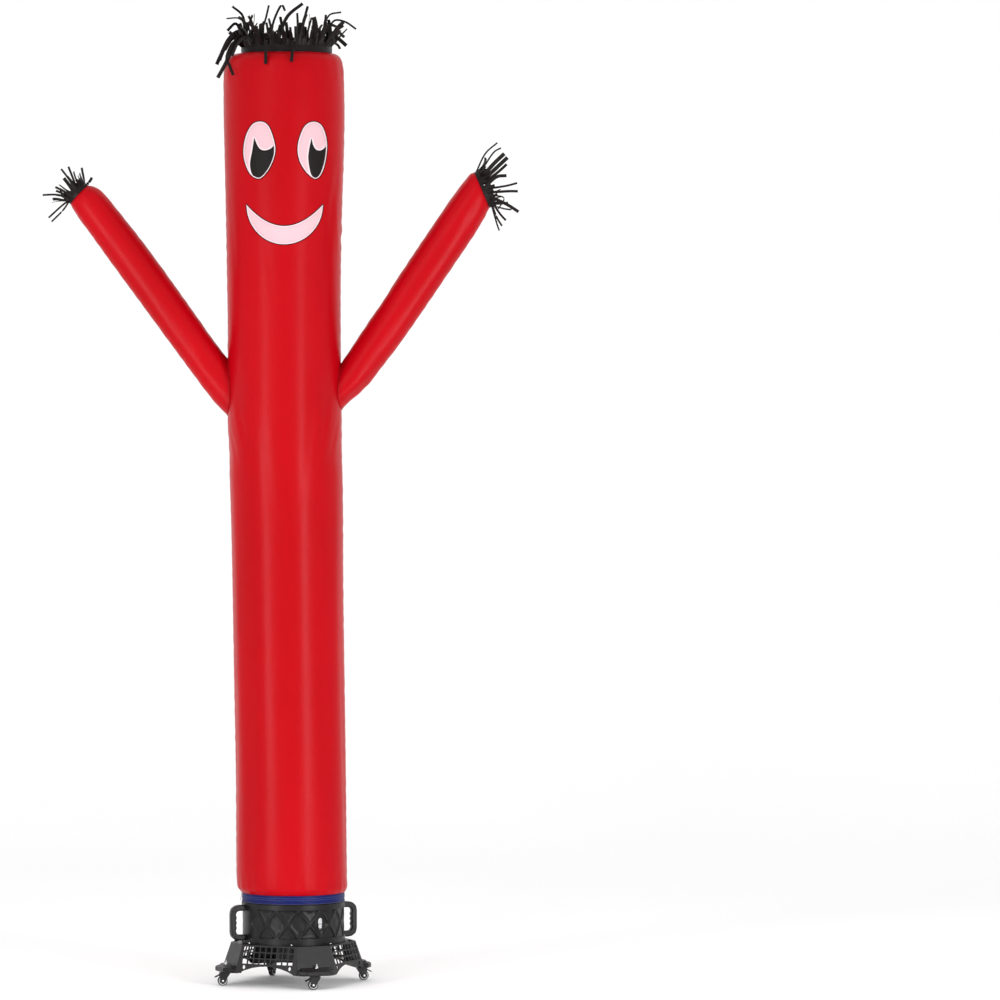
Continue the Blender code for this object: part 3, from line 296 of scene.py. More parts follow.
def tube_point(angle, height, lift=0.0):
    """A point on the tube's side, lifted off it."""
    lean, radius = TUBE_CURVE.at(height)
    reach = radius + lift + tube_relief(angle, height)
    turn = math.radians(angle)
    return Vector((AXIS.x + lean + reach * math.cos(turn), AXIS.y + reach * math.sin(turn), height))


def front_point(x, z, lift):
    """The tube's surface where it faces the viewer, from x and z alone."""
    lean, radius = TUBE_CURVE.at(z)
    centre = AXIS.x + lean
    reach = radius
    for _ in range(4):
        share = max(-1.0, min(1.0, (x - centre) / reach))
        angle = -math.degrees(math.acos(share))
        reach = radius + tube_relief(angle, z)
    point = tube_point(angle, z, lift)
    point.x = x if abs(share) < 0.98 else point.x
    return point


def new_object(name, mesh, paint, body="dancer", smooth=True):
    """An object from a mesh, painted and riding on a body."""
    made = bpy.data.objects.new(name, mesh)
    bpy.context.scene.collection.objects.link(made)
    if paint:
        mesh.materials.append(paint)
    if smooth:
        mesh.shade_smooth()
    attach(made, body)
    return made


def from_points(name, points, faces, paint, body="dancer", smooth=True):
    """An object from lists of points and faces."""
    mesh = bpy.data.meshes.new(name)
    mesh.from_pydata([tuple(p) for p in points], [], faces)
    mesh.update()
    return new_object(name, mesh, paint, body, smooth)


def from_bmesh(name, bm, paint, body="dancer", smooth=None):
    """An object from a bmesh, with sharp edges above an angle in degrees."""
    bmesh.ops.recalc_face_normals(bm, faces=bm.faces)
    mesh = bpy.data.meshes.new(name)
    bm.to_mesh(mesh)
    bm.free()
    made = new_object(name, mesh, paint, body, smooth is not None)
    if smooth is not None:
        mesh.set_sharp_from_angle(angle=math.radians(smooth))
    return made


def grid_faces(rows, count, wrap=True):
    """Quads of a grid of points in rows."""
    faces = []
    for r in range(rows - 1):
        for i in range(count if wrap else count - 1):
            j = (i + 1) % count
            faces.append((r * count + i, r * count + j, (r + 1) * count + j, (r + 1) * count + i))
    return faces


def thicken(made, thickness, offset=-1.0):
    """Give a sheet its thickness."""
    solid = made.modifiers.new("thickness", "SOLIDIFY")
    solid.thickness = thickness
    solid.offset = offset
    solid.use_even_offset = False


def add_loft(bm, point_rings, closed_ring=False):
    """A closed solid through rings of points, with flat ends or joined end to end."""
    rings = [[bm.verts.new(p) for p in points] for points in point_rings]
    pairs = list(zip(rings, rings[1:]))
    if closed_ring:
        pairs.append((rings[-1], rings[0]))
    for low, high in pairs:
        for i in range(len(low)):
            j = (i + 1) % len(low)
            bm.faces.new((low[i], low[j], high[j], high[i]))
    if not closed_ring:
        bm.faces.new(rings[0])
        bm.faces.new(rings[-1])


def turned(bm, profile, place, segments, first=0.0):
    """A profile of (radius, height) points swept round a frame's Z axis, as a closed ring of its own."""
    rings = []
    for i in range(segments):
        turn = math.radians(first + 360.0 * i / segments)
        rings.append([place @ Vector((r * math.cos(turn), r * math.sin(turn), z)) for r, z in profile])
    add_loft(bm, rings, closed_ring=True)


def stud_shape(bm, profile, place, segments, first=0.0):
    """A profile of (radius, height) points turned into a solid with flat ends."""
    rings = []
    for r, z in profile:
        ring = []
        for i in range(segments):
            turn = math.radians(first + 360.0 * i / segments)
            ring.append(place @ Vector((r * math.cos(turn), r * math.sin(turn), z)))
        rings.append(ring)
    add_loft(bm, rings)


def box_shape(bm, low, high, place):
    """A box between two corners of a frame."""
    rings = []
    for z in (low[2], high[2]):
        corners = ((low[0], low[1]), (high[0], low[1]), (high[0], high[1]), (low[0], high[1]))
        rings.append([place @ Vector((x, y, z)) for x, y in corners])
    add_loft(bm, rings)


def paint(name, colour, roughness, metallic=0.0, **sockets):
    """A Principled material and its node tree, ready for more nodes."""
    made = bpy.data.materials.new(name)
    made.use_nodes = True
    nodes = made.node_tree.nodes
    shader = nodes["Principled BSDF"]
    shader.inputs["Base Color"].default_value = (*colour, 1.0)
    shader.inputs["Roughness"].default_value = roughness
    shader.inputs["Metallic"].default_value = metallic
    for socket, value in sockets.items():
        shader.inputs[socket.replace("_", " ")].default_value = value
    return made, nodes, made.node_tree.links, shader


def noise(nodes, links, scale, detail=3.0, stretch=(1.0, 1.0, 1.0)):
    """A noise texture in the object's own metres."""
    place = nodes.new("ShaderNodeTexCoord")
    mapping = nodes.new("ShaderNodeMapping")
    mapping.inputs["Scale"].default_value = stretch
    links.new(place.outputs["Object"], mapping.inputs["Vector"])
    texture = nodes.new("ShaderNodeTexNoise")
    texture.inputs["Scale"].default_value = scale
    texture.inputs["Detail"].default_value = detail
    links.new(mapping.outputs["Vector"], texture.inputs["Vector"])
    return texture.outputs["Fac"], mapping


def ramp(nodes, links, source, low, high, start=0.3, end=0.7):
    """A colour between two colours, by a factor."""
    made = nodes.new("ShaderNodeValToRGB")
    made.color_ramp.elements[0].position = start
    made.color_ramp.elements[1].position = end
    made.color_ramp.elements[0].color = (*low, 1.0)
    made.color_ramp.elements[1].color = (*high, 1.0)
    links.new(source, made.inputs["Fac"])
    return made.outputs["Color"]


def spread(nodes, links, source, low, high):
    """A number from low to high, by a factor."""
    made = nodes.new("ShaderNodeMapRange")
    made.inputs["To Min"].default_value = low
    made.inputs["To Max"].default_value = high
    links.new(source, made.inputs["Value"])
    return made.outputs["Result"]


def bump(nodes, links, shader, source, distance, strength=1.0, under=None):
    """A bump from a height factor, over another bump if given."""
    made = nodes.new("ShaderNodeBump")
    made.inputs["Distance"].default_value = distance
    made.inputs["Strength"].default_value = strength
    links.new(source, made.inputs["Height"])
    if under:
        links.new(under.outputs["Normal"], made.inputs["Normal"])
    links.new(made.outputs["Normal"], shader.inputs["Normal"])
    return made


def woven(name, dark, light, roughness, pitch=0.0011, crinkle=0.0012, **sockets):
    """Plain-woven nylon: shade that drifts a little, small crinkles and a fine square weave."""
    made, nodes, links, shader = paint(name, light, roughness, 0.0, **sockets)
    drift, _ = noise(nodes, links, 2.2, 3.0, (1.0, 1.0, 0.35))
    links.new(ramp(nodes, links, drift, dark, light, 0.35, 0.62), shader.inputs["Base Color"])
    gloss, _ = noise(nodes, links, 9.0, 2.0)
    links.new(spread(nodes, links, gloss, roughness - 0.06, roughness + 0.06), shader.inputs["Roughness"])
    creases, _ = noise(nodes, links, 26.0, 5.0, (1.0, 1.0, 0.6))
    first = bump(nodes, links, shader, creases, crinkle, 0.5)
    place = nodes.new("ShaderNodeTexCoord")
    weave = None
    for direction in ("Z", "X"):
        wave = nodes.new("ShaderNodeTexWave")
        wave.bands_direction = direction
        wave.inputs["Scale"].default_value = 0.314 / pitch
        links.new(place.outputs["Object"], wave.inputs["Vector"])
        if weave is None:
            weave = wave
            continue
        both = nodes.new("ShaderNodeMath")
        both.operation = "ADD"
        links.new(weave.outputs["Fac"], both.inputs[0])
        links.new(wave.outputs["Fac"], both.inputs[1])
        bump(nodes, links, shader, both.outputs[0], 0.00006, 0.4, under=first)
    return made


def moulded(name, dark, light, roughness, grain=900.0, **sockets):
    """Moulded plastic: a fine leathery grain, with patches a little duller and paler from handling."""
    made, nodes, links, shader = paint(name, light, roughness, 0.0, **sockets)
    drift, _ = noise(nodes, links, 7.0, 4.0)
    links.new(ramp(nodes, links, drift, dark, light), shader.inputs["Base Color"])
    gloss, _ = noise(nodes, links, 30.0, 3.0)
    links.new(spread(nodes, links, gloss, roughness - 0.07, roughness + 0.09), shader.inputs["Roughness"])
    fine, _ = noise(nodes, links, grain, 2.0)
    bump(nodes, links, shader, fine, 0.00012, 0.35)
    return made


def metal(name, dark, light, roughness, metallic=1.0):
    """Plated or painted steel with faint smears and a brushed grain."""
    made, nodes, links, shader = paint(name, light, roughness, metallic)
    smear, _ = noise(nodes, links, 60.0, 4.0)
    links.new(ramp(nodes, links, smear, dark, light), shader.inputs["Base Color"])
    gloss, _ = noise(nodes, links, 220.0, 2.0, (1.0, 1.0, 6.0))
    links.new(spread(nodes, links, gloss, roughness - 0.08, roughness + 0.12), shader.inputs["Roughness"])
    bump(nodes, links, shader, gloss, 0.00004, 0.3)
    return made


RED = woven("red_nylon_cloth", (0.350, 0.0005, 0.0035), (0.402, 0.0007, 0.0050), 0.32,
            Specular_IOR_Level=0.08)
BLUE = woven("blue_nylon_cloth", (0.0015, 0.004, 0.052), (0.004, 0.008, 0.082), 0.44, crinkle=0.0006,
             Specular_IOR_Level=0.12)
STRIP = woven("black_nylon_strip", (0.0040, 0.0022, 0.0022), (0.0085, 0.0048, 0.0048), 0.40, crinkle=0.0005,
              Specular_IOR_Level=0.14)
PINK = woven("pale_pink_cloth", (0.63, 0.395, 0.435), (0.67, 0.430, 0.470), 0.60, crinkle=0.0003,
             Specular_IOR_Level=0.10)
WHITE = woven("white_border_cloth", (0.66, 0.54, 0.57), (0.70, 0.58, 0.61), 0.60, crinkle=0.0002,
              Specular_IOR_Level=0.10)
PUPIL = woven("dark_patch_cloth", (0.0035, 0.0020, 0.0020), (0.0070, 0.0042, 0.0042), 0.46, crinkle=0.0003,
              Specular_IOR_Level=0.16)
OUTLINE = woven("dark_edge_stitching", (0.034, 0.0012, 0.0022), (0.064, 0.0022, 0.0040), 0.75,
                crinkle=0.0002,
                Specular_IOR_Level=0.10)
THREAD = moulded("grey_thread", (0.32, 0.25, 0.28), (0.42, 0.33, 0.36), 0.70, 1600.0)
RED_THREAD = moulded("red_thread", (0.26, 0.001, 0.003), (0.34, 0.002, 0.006), 0.60, 1600.0,
                     Specular_IOR_Level=0.15)
BLUE_THREAD = moulded("blue_thread", (0.05, 0.07, 0.24), (0.09, 0.11, 0.32), 0.60, 1600.0)
PLASTIC = moulded("black_moulded_plastic", (0.0026, 0.0021, 0.0022), (0.0064, 0.0056, 0.0058), 0.36,
                  Specular_IOR_Level=0.24)
PEDAL_PLASTIC = moulded("black_pedal_plastic", (0.004, 0.004, 0.004), (0.008, 0.008, 0.008), 0.42,
                        Specular_IOR_Level=0.24)
TYRE = moulded("black_wheel_plastic", (0.004, 0.004, 0.004), (0.009, 0.009, 0.009), 0.42, 1200.0,
               Specular_IOR_Level=0.24)
RIM_WHITE = moulded("white_wheel_ring", (0.42, 0.42, 0.41), (0.56, 0.56, 0.55), 0.45, 1200.0)
ZINC = metal("zinc_plated_steel", (0.50, 0.50, 0.52), (0.70, 0.70, 0.71), 0.28)
CHROME = metal("bright_screw_steel", (0.60, 0.60, 0.61), (0.78, 0.78, 0.79), 0.22)
BLACK_STEEL = metal("black_painted_steel", (0.005, 0.005, 0.0055), (0.013, 0.013, 0.014), 0.36, 0.4)


def hook_material():
    """Hook tape: a dull black field of tiny hooks."""
    made, nodes, links, shader = paint("hook_tape_pile", (0.008, 0.008, 0.009), 0.92,
                                       Specular_IOR_Level=0.15)
    place = nodes.new("ShaderNodeTexCoord")
    cells = nodes.new("ShaderNodeTexVoronoi")
    cells.inputs["Scale"].default_value = 700.0
    links.new(place.outputs["Object"], cells.inputs["Vector"])
    links.new(ramp(nodes, links, cells.outputs["Distance"], (0.014, 0.014, 0.015), (0.004, 0.004, 0.0045),
                   0.2, 0.7),
              shader.inputs["Base Color"])
    bump(nodes, links, shader, cells.outputs["Distance"], 0.0006, 0.8)
    return made


HOOK = hook_material()


def arm_frame(arm, along, aside, tilt):
    """Frame of an arm's row: Z along the arm, X to the outer side, Y to the back."""
    angle = math.radians(arm["angle"])
    forward = Vector((arm["side"] * math.sin(angle), 0.0, math.cos(angle)))
    outward = Vector((arm["side"] * math.cos(angle), 0.0, -math.sin(angle)))
    origin = arm["root"] + forward * along + outward * aside
    lean = math.radians(tilt)
    normal = forward * math.cos(lean) + outward * math.sin(lean)
    across = outward * math.cos(lean) - forward * math.sin(lean)
    depth = normal.cross(across)
    return Matrix(((across.x, depth.x, normal.x, origin.x),
                   (across.y, depth.y, normal.y, origin.y),
                   (across.z, depth.z, normal.z, origin.z),
                   (0.0, 0.0, 0.0, 1.0)))


def arm_point(arm, along, turn, lift=0.0):
    """A point of an arm's surface, by the place along it and the turn round it in degrees."""
    aside, half_width, half_depth, tilt = arm["curve"].at(along)
    out = lift
    for level, direction, reach, width, swell in arm["folds"]:
        away = turn_away(turn, direction) / width
        out += swell * math.exp(-away * away - ((along - level) / reach) ** 2)
    # A seam along the arm's under side, with its puckers
    for seam, seed in ((0.0, arm["seed"]), (180.0, arm["seed"] + 1.7)):
        away = abs(turn_away(turn, seam))
        pucker = ripple(along + 0.02 * ripple(along, 0.31, seed), 0.058, seed)
        out += 0.0007 * pucker * math.exp(-((away / 20.0) ** 2))
    gathered = math.exp(-(((along - 0.96) / 0.06) ** 2))
    out += 0.0011 * ripple(math.radians(turn) * 0.075, 0.060, arm["seed"]) * gathered
    out *= min(1.0, max(0.0, (arm["rows"][-1][0] - along) / 0.02))
    angle = math.radians(turn)
    place = arm_frame(arm, along, aside, tilt)
    return place @ Vector(((half_width + out) * math.cos(angle), (half_depth + out) * math.sin(angle), 0.0))


def inside_tube(point):
    """Whether a point is inside the body tube's surface."""
    lean, radius = TUBE_CURVE.at(point.z)
    flat = Vector((point.x - AXIS.x - lean, point.y - AXIS.y, 0.0))
    angle = math.degrees(math.atan2(flat.y, flat.x))
    return flat.length < radius + tube_relief(angle, point.z)


def arm_start(arm, turn):
    """Where along the arm its surface leaves the body tube, at one turn round it."""
    low, high = -0.21, 0.40
    for _ in range(22):
        middle = 0.5 * (low + high)
        if inside_tube(arm_point(arm, middle, turn)):
            low = middle
        else:
            high = middle
    return high


def build_body():
    """The body tube as one sheet, open at its foot and vent and where the arms are sewn on."""
    heights = [0.380, 0.384, 0.388, 0.393, 0.398, 0.404, 0.412, 0.421]
    count = int((3.780 - 0.430) / TUBE_STEP)
    heights += [0.430 + (3.780 - 0.430) * i / count for i in range(count + 1)]
    heights += [3.790, 3.800, 3.810, 3.818, 3.826]
    points = []
    angles = [-90.0 + 360.0 * (i + 0.5) / TUBE_SEGMENTS for i in range(TUBE_SEGMENTS)]
    for height in heights:
        points += [tube_point(angle, height) for angle in angles]
    for height, lean, radius in SHOULDER:
        for angle in angles:
            reach = radius + 0.8 * tube_relief(angle, height)
            turn = math.radians(angle)
            points.append(Vector((AXIS.x + lean + reach * math.cos(turn), reach * math.sin(turn), height)))
    faces = grid_faces(len(heights) + len(SHOULDER), TUBE_SEGMENTS)
    kept = []
    for face in faces:
        middle = sum((points[i] for i in face), Vector()) / 4.0
        if not any(within_arm(arm, middle, 0.010) for arm in (LEFT_ARM, RIGHT_ARM)):
            kept.append(face)
    body = from_points("tube_cloth", points, kept, RED)
    thicken(body, CLOTH)
    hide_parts("body_tube")
    return body


def within_arm(arm, point, margin):
    """Whether a point is inside an arm's sleeve, run on into the tube, by a margin."""
    angle = math.radians(arm["angle"])
    forward = Vector((arm["side"] * math.sin(angle), 0.0, math.cos(angle)))
    outward = Vector((arm["side"] * math.cos(angle), 0.0, -math.sin(angle)))
    offset = point - arm["root"]
    along = offset.dot(forward)
    if not -0.20 < along < 0.30:
        return False
    aside, half_width, half_depth, _ = arm["curve"].at(along)
    across = (offset.dot(outward) - aside) / (half_width - margin)
    return across * across + (offset.y / (half_depth - margin)) ** 2 < 1.0


def build_arm(arm):
    """One sleeve, sewn to the tube and open at its hand, with a stitched seam round its root."""
    arm["curve"] = Curve(arm["rows"])
    turns = [360.0 * (i + 0.5) / ARM_SEGMENTS for i in range(ARM_SEGMENTS)]
    starts = [arm_start(arm, turn) - 0.004 for turn in turns]
    end = arm["rows"][-1][0]
    points = []
    for r in range(ARM_ROWS):
        share = r / (ARM_ROWS - 1)
        points += [arm_point(arm, start + (end - start) * share, turn) for start,
                   turn in zip(starts, turns)]
    sleeve = from_points(arm["name"] + "_cloth", points, grid_faces(ARM_ROWS, ARM_SEGMENTS), RED)
    thicken(sleeve, CLOTH)
    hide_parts(arm["name"])
    seam = []
    for start, turn in zip(starts, turns):
        seam.append(arm_point(arm, start + 0.0075, turn, 0.0004))
    piping = piped_loop(arm["name"] + "_root_seam", seam, 0.0016, RED_THREAD)
    return sleeve, piping


def piped_loop(name, points, radius, material, body="dancer"):
    """A thin round cord sewn along a closed line of points."""
    bm = bmesh.new()
    count = len(points)
    rings = []
    for i, point in enumerate(points):
        way = (points[(i + 1) % count] - points[i - 1]).normalized()
        side = way.orthogonal().normalized() if i == 0 else (side - way * side.dot(way)).normalized()
        other = way.cross(side)
        rings.append([point + side * (radius * math.cos(a)) + other * (radius * math.sin(a))
                      for a in (0.0, math.pi / 3, 2 * math.pi / 3, math.pi, 4 * math.pi / 3,
                                5 * math.pi / 3)])
    # The last ring meets the first after any turn of the frame round the loop.
    first, last = rings[0], rings[-1]
    shift = min(range(6), key=lambda k: sum((last[i] - first[(i + k) % 6]).length for i in range(6)))
    rings.append([first[(i + shift) % 6] for i in range(6)])
    verts = [[bm.verts.new(p) for p in ring] for ring in rings[:-1]]
    verts.append([verts[0][(i + shift) % 6] for i in range(6)])
    for low, high in zip(verts, verts[1:]):
        for i in range(6):
            j = (i + 1) % 6
            bm.faces.new((low[i], low[j], high[j], high[i]))
    return from_bmesh(name, bm, material, body, smooth=80.0)


def curve_point(p0, p1, p2, p3, t):
    """A point of the smooth curve from p1 to p2 that runs on to their neighbours."""
    return 0.5 * (2.0 * p1 + (p2 - p0) * t + (2.0 * p0 - 5.0 * p1 + 4.0 * p2 - p3) * t * t
                  + (3.0 * p1 - p0 - 3.0 * p2 + p3) * t * t * t)


def smooth_outline(points, steps, corners=()):
    """A closed outline with a smooth curve through its points, sharp at the named corners."""
    found = []
    count = len(points)
    for i in range(count):
        p0, p1, p2, p3 = (Vector(points[(i + k) % count]) for k in (-1, 0, 1, 2))
        if i in corners:
            p0 = p1 - (p2 - p1)
        if (i + 1) % count in corners:
            p3 = p2 + (p2 - p1)
        found += [curve_point(p0, p1, p2, p3, s / steps) for s in range(steps)]
    return found


def inset(outline, distance):
    """An outline drawn in, or out if the distance is negative. It never crosses itself in a narrow tip."""
    area = sum(a.x * b.y - b.x * a.y for a, b in zip(outline, outline[1:] + outline[:1]))
    sign = 1.0 if area > 0.0 else -1.0
    found = []
    count = len(outline)
    for i, point in enumerate(outline):
        way = (outline[(i + 1) % count] - outline[i - 1]).normalized()
        reach = Vector((-way.y, way.x)) * (distance * sign)
        share = 1.0
        while share > 0.1 and distance > 0.0:
            place = point + reach * share
            if inside(outline, place) and edge_distance(outline, place) > 0.85 * share * distance:
                break
            share -= 0.1
        found.append(point + reach * share)
    return found


def edge_distance(outline, point):
    """Distance from a point to an outline's edges."""
    best = 1.0
    for a, b in zip(outline, outline[1:] + outline[:1]):
        along = b - a
        share = min(1.0, max(0.0, (point - a).dot(along) / max(along.length_squared, 1e-12)))
        best = min(best, (a + along * share - point).length)
    return best


def inside(outline, point):
    """Whether a point is inside an outline."""
    crossings = False
    for a, b in zip(outline, outline[1:] + outline[:1]):
        if (a.y > point.y) != (b.y > point.y) and point.x < a.x + (b.x - a.x) * (point.y - a.y) / (b.y - a.y):
            crossings = not crossings
    return crossings


def patch(name, outline, lift, thickness, material, step=0.009):
    """A cloth patch that lies on the tube's front inside an outline of (x, z) points."""
    inner = [p for p in grid_points(outline, step) if inside(outline, p) and nearest(outline,
                                                                                     p) > 0.45 * step]
    count = len(outline)
    edges = [(i, (i + 1) % count) for i in range(count)]
    places, _, faces, _, _, _ = delaunay_2d_cdt([*outline, *inner], edges, [list(range(count))], 1, 1e-6)
    made = from_points(name, [front_point(p.x, p.y, lift) for p in places],
                       [tuple(reversed(f)) for f in faces], material)
    thicken(made, thickness, 1.0)
    return made


def grid_points(outline, step):
    """Points of a square grid over an outline's box."""
    low = Vector((min(p.x for p in outline), min(p.y for p in outline)))
    high = Vector((max(p.x for p in outline), max(p.y for p in outline)))
    return [Vector((low.x + step * i, low.y + step * j))
            for i in range(int((high.x - low.x) / step) + 1) for j in range(int((high.y - low.y) / step) + 1)]


def nearest(outline, point):
    """Distance from a point to an outline's nearest corner."""
    return min((p - point).length for p in outline)


def ribbon(name, outer, inner, lift, crown, material, closed=True):
    """A sewn ribbon between two lines of (x, z) points, its middle a little proud of its edges."""
    points = []
    rows = ((0.0, 0.0), (0.12, 0.8), (0.5, 1.0), (0.88, 0.8), (1.0, 0.0))
    for share, height in rows:
        for a, b in zip(outer, inner):
            p = a.lerp(b, share)
            points.append(front_point(p.x, p.y, lift + crown * height))
    made = from_points(name, points, grid_faces(len(rows), len(outer), closed), material)
    return made


def stitches(name, line, length, gap, width, lift, material, closed=True):
    """A line of short raised stitches along (x, z) points on the tube's front."""
    loop = line + line[:1] if closed else line
    dashes = []
    run = 0.0
    start = None
    pitch = length + gap
    for a, b in zip(loop, loop[1:]):
        span = (b - a).length
        place = 0.0
        if span > 2.0 * pitch:
            start = None
            continue
        while place < span:
            phase = (run + place) % pitch
            here = a.lerp(b, place / span)
            if phase < length:
                start = here if start is None else start
                advance = min(length - phase + 1e-6, span - place)
            else:
                if start is not None:
                    dashes.append((start, here))
                    start = None
                advance = min(pitch - phase + 1e-6, span - place)
            place += max(advance, 1e-5)
        run += span
    bm = bmesh.new()
    for a, b in dashes:
        way = b - a
        if way.length < 0.3 * length:
            continue
        side = Vector((-way.y, way.x)).normalized() * (0.5 * width)
        low = [a - side, a + side, b + side, b - side]
        ring_low = [front_point(p.x, p.y, lift) for p in low]
        middle = (a + b) / 2.0
        ring_high = [front_point(*(middle + (p - middle) * 0.7), lift + 0.5 * width) for p in low]
        add_loft(bm, [ring_low, ring_high])
    return from_bmesh(name, bm, material, smooth=40.0)


def mouth_outline():
    """Crescent between a half ellipse below and a parabola above, which meet at its tips."""
    steps = MOUTH["steps"]
    points = []
    lower, upper = (MOUTH["lower_depth"], 1, range(steps)), (MOUTH["upper_depth"], 2, range(steps, 0, -1))
    for depth, power, order in (lower, upper):
        for i in order:
            turn = math.pi * i / steps
            x = MOUTH["x"] - MOUTH["half_width"] * math.cos(turn)
            points.append((x, MOUTH["z"] - depth * math.sin(turn) ** power))
    return points


def join(name, pieces):
    """One object from several, which keeps each one's material."""
    joined = bmesh.new()
    materials = []
    for piece in pieces:
        depsgraph = bpy.context.evaluated_depsgraph_get()
        mesh = bpy.data.meshes.new_from_object(piece.evaluated_get(depsgraph))
        material = piece.data.materials[0]
        if material not in materials:
            materials.append(material)
        for polygon in mesh.polygons:
            polygon.material_index = materials.index(material)
        joined.from_mesh(mesh)
        bpy.data.meshes.remove(mesh)
    mesh = bpy.data.meshes.new(name)
    joined.to_mesh(mesh)
    joined.free()
    for material in materials:
        mesh.materials.append(material)
    for piece in pieces:
        bpy.data.objects.remove(piece)
    made = bpy.data.objects.new(name, mesh)
    bpy.context.scene.collection.objects.link(made)
    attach(made, "dancer")
    return made


def edging(name, line, reach, lift, crown, material):
    """A ribbon that follows a patch's outline from one inset to another."""
    return ribbon(name, inset(line, reach[0]), inset(line, reach[1]), lift, crown, material)


def build_face():
    """Eyes, pupils and mouth: patches with a white border, a stitched dark edge and a line of stitches."""
    trims = []
    patches = []
    for side, x, eye, pupil in (("left", LEFT_EYE_X, LEFT_EYE, LEFT_PUPIL),
                                ("right", RIGHT_EYE_X, RIGHT_EYE, RIGHT_PUPIL)):
        eye_line = smooth_outline([(x + a, EYE_HEIGHT + b) for a, b in eye], 7)
        pupil_line = smooth_outline([(x + a, EYE_HEIGHT + b) for a, b in pupil], 6, PUPIL_TIPS)
        white = patch("eye_%s_patch" % side, eye_line, 0.0004, 0.0005, PINK)
        dark = patch("pupil_%s_patch" % side, pupil_line, 0.0012, 0.0005, PUPIL)
        patches += [(white, "eye_" + side, "pink_patch"), (dark, "pupil_" + side, "dark_patch")]
        trims.append(edging("eye_edge_" + side, eye_line, EDGE_REACH, 0.0002, 0.0013, OUTLINE))
        trims.append(edging("eye_border_" + side, eye_line, EYE_BORDER_REACH, 0.0009, 0.0004, WHITE))
        stitch_line = inset(eye_line, 0.0095)
        clear = [p for p in stitch_line if not inside(inset(pupil_line, -0.010), p)]
        trims.append(stitches("eye_stitches_" + side, clear, 0.005, 0.003, 0.0009, 0.0010, THREAD,
                              closed=False))
        upper = pupil_line[-4 * 6:] + pupil_line[:PUPIL_TIPS[1] * 6 + 1]
        outer = inset(pupil_line, -0.0062)
        outer = outer[-4 * 6:] + outer[:PUPIL_TIPS[1] * 6 + 1]
        held = [a if inside(eye_line, a) else b for a, b in zip(outer, upper)]
        trims.append(ribbon("pupil_border_" + side, upper, held, 0.0010, 0.0006, WHITE, closed=False))
    mouth_line = smooth_outline(mouth_outline(), 4, (0, MOUTH["steps"]))
    patches.append((patch("mouth_patch", mouth_line, 0.0004, 0.0005, PINK), "mouth", "pink_patch"))
    trims.append(edging("mouth_edge", mouth_line, EDGE_REACH, 0.0002, 0.0013, OUTLINE))
    trims.append(edging("mouth_border", mouth_line, MOUTH_BORDER_REACH, 0.0009, 0.0004, WHITE))
    sewn = [p for p in inset(mouth_line, 0.0090) if inside(mouth_line, p) and abs(p.x - MOUTH["x"]) < 0.135]
    trims.append(stitches("mouth_stitches", sewn, 0.005, 0.003, 0.0009, 0.0010, THREAD, closed=False))
    for made, node, slot in patches:
        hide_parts(node)
    sewn_trim = join("face_borders_and_stitches", trims)
    return [made for made, _, _ in patches], sewn_trim


def strip_ring(centre, flat, up, width, thickness=0.0007):
    """Section of a strip, cupped a little across its width."""
    half, cup = 0.5 * width, 0.10 * width
    profile = ((-half, 0.0), (-0.5 * half, -0.6 * cup), (0.0, -cup), (0.5 * half, -0.6 * cup), (half, 0.0))
    near = [centre + flat * a + up * (b - 0.5 * thickness) for a, b in profile]
    far = [centre + flat * a + up * (b + 0.5 * thickness) for a, b in reversed(profile)]
    return near + far


def strip_along(bm, points, width, side_of):
    """One flat strip on a smooth line through points, from its sewn root to its cut end."""
    ends = [points[0] * 2.0 - points[1], *points, points[-1] * 2.0 - points[-2]]
    line = []
    for p0, p1, p2, p3 in zip(ends, ends[1:], ends[2:], ends[3:]):
        line += [curve_point(p0, p1, p2, p3, s / 5) for s in range(5)]
    line.append(points[-1])
    rings = []
    for k, place in enumerate(line):
        way = (line[min(k + 1, len(line) - 1)] - line[max(k - 1, 0)]).normalized()
        side = side_of(place, way)
        side = (side - way * way.dot(side)).normalized()
        rings.append(strip_ring(place, side, way.cross(side), width * (1.0 - 0.06 * k / len(line))))
    add_loft(bm, rings)


def strip_mesh(bm, base, across, out, way, length, width, lean, bend, drift, twist, roll, rng, steps=9):
    """One flat strip of a fringe from its sewn root to its cut end."""
    centre = base.copy()
    rings = []
    wobble = rng.uniform(0.0, 6.28)
    for k in range(steps + 1):
        share = k / steps
        turn = math.radians(lean + bend * share * share + 9.0 * math.sin(5.0 * share + wobble) * share)
        heading = (way * math.cos(turn) + out * math.sin(turn) + across * drift * share).normalized()
        face = (out * math.cos(turn) - way * math.sin(turn)).normalized()
        side = heading.cross(face).normalized()
        turned_by = math.radians(roll * min(1.0, 3.0 * share) + twist * share)
        flat = side * math.cos(turned_by) + face * math.sin(turned_by)
        up = heading.cross(flat).normalized()
        rings.append(strip_ring(centre, flat, up, width * (1.0 - 0.06 * share)))
        centre = centre + heading * (length / steps)
    add_loft(bm, rings)


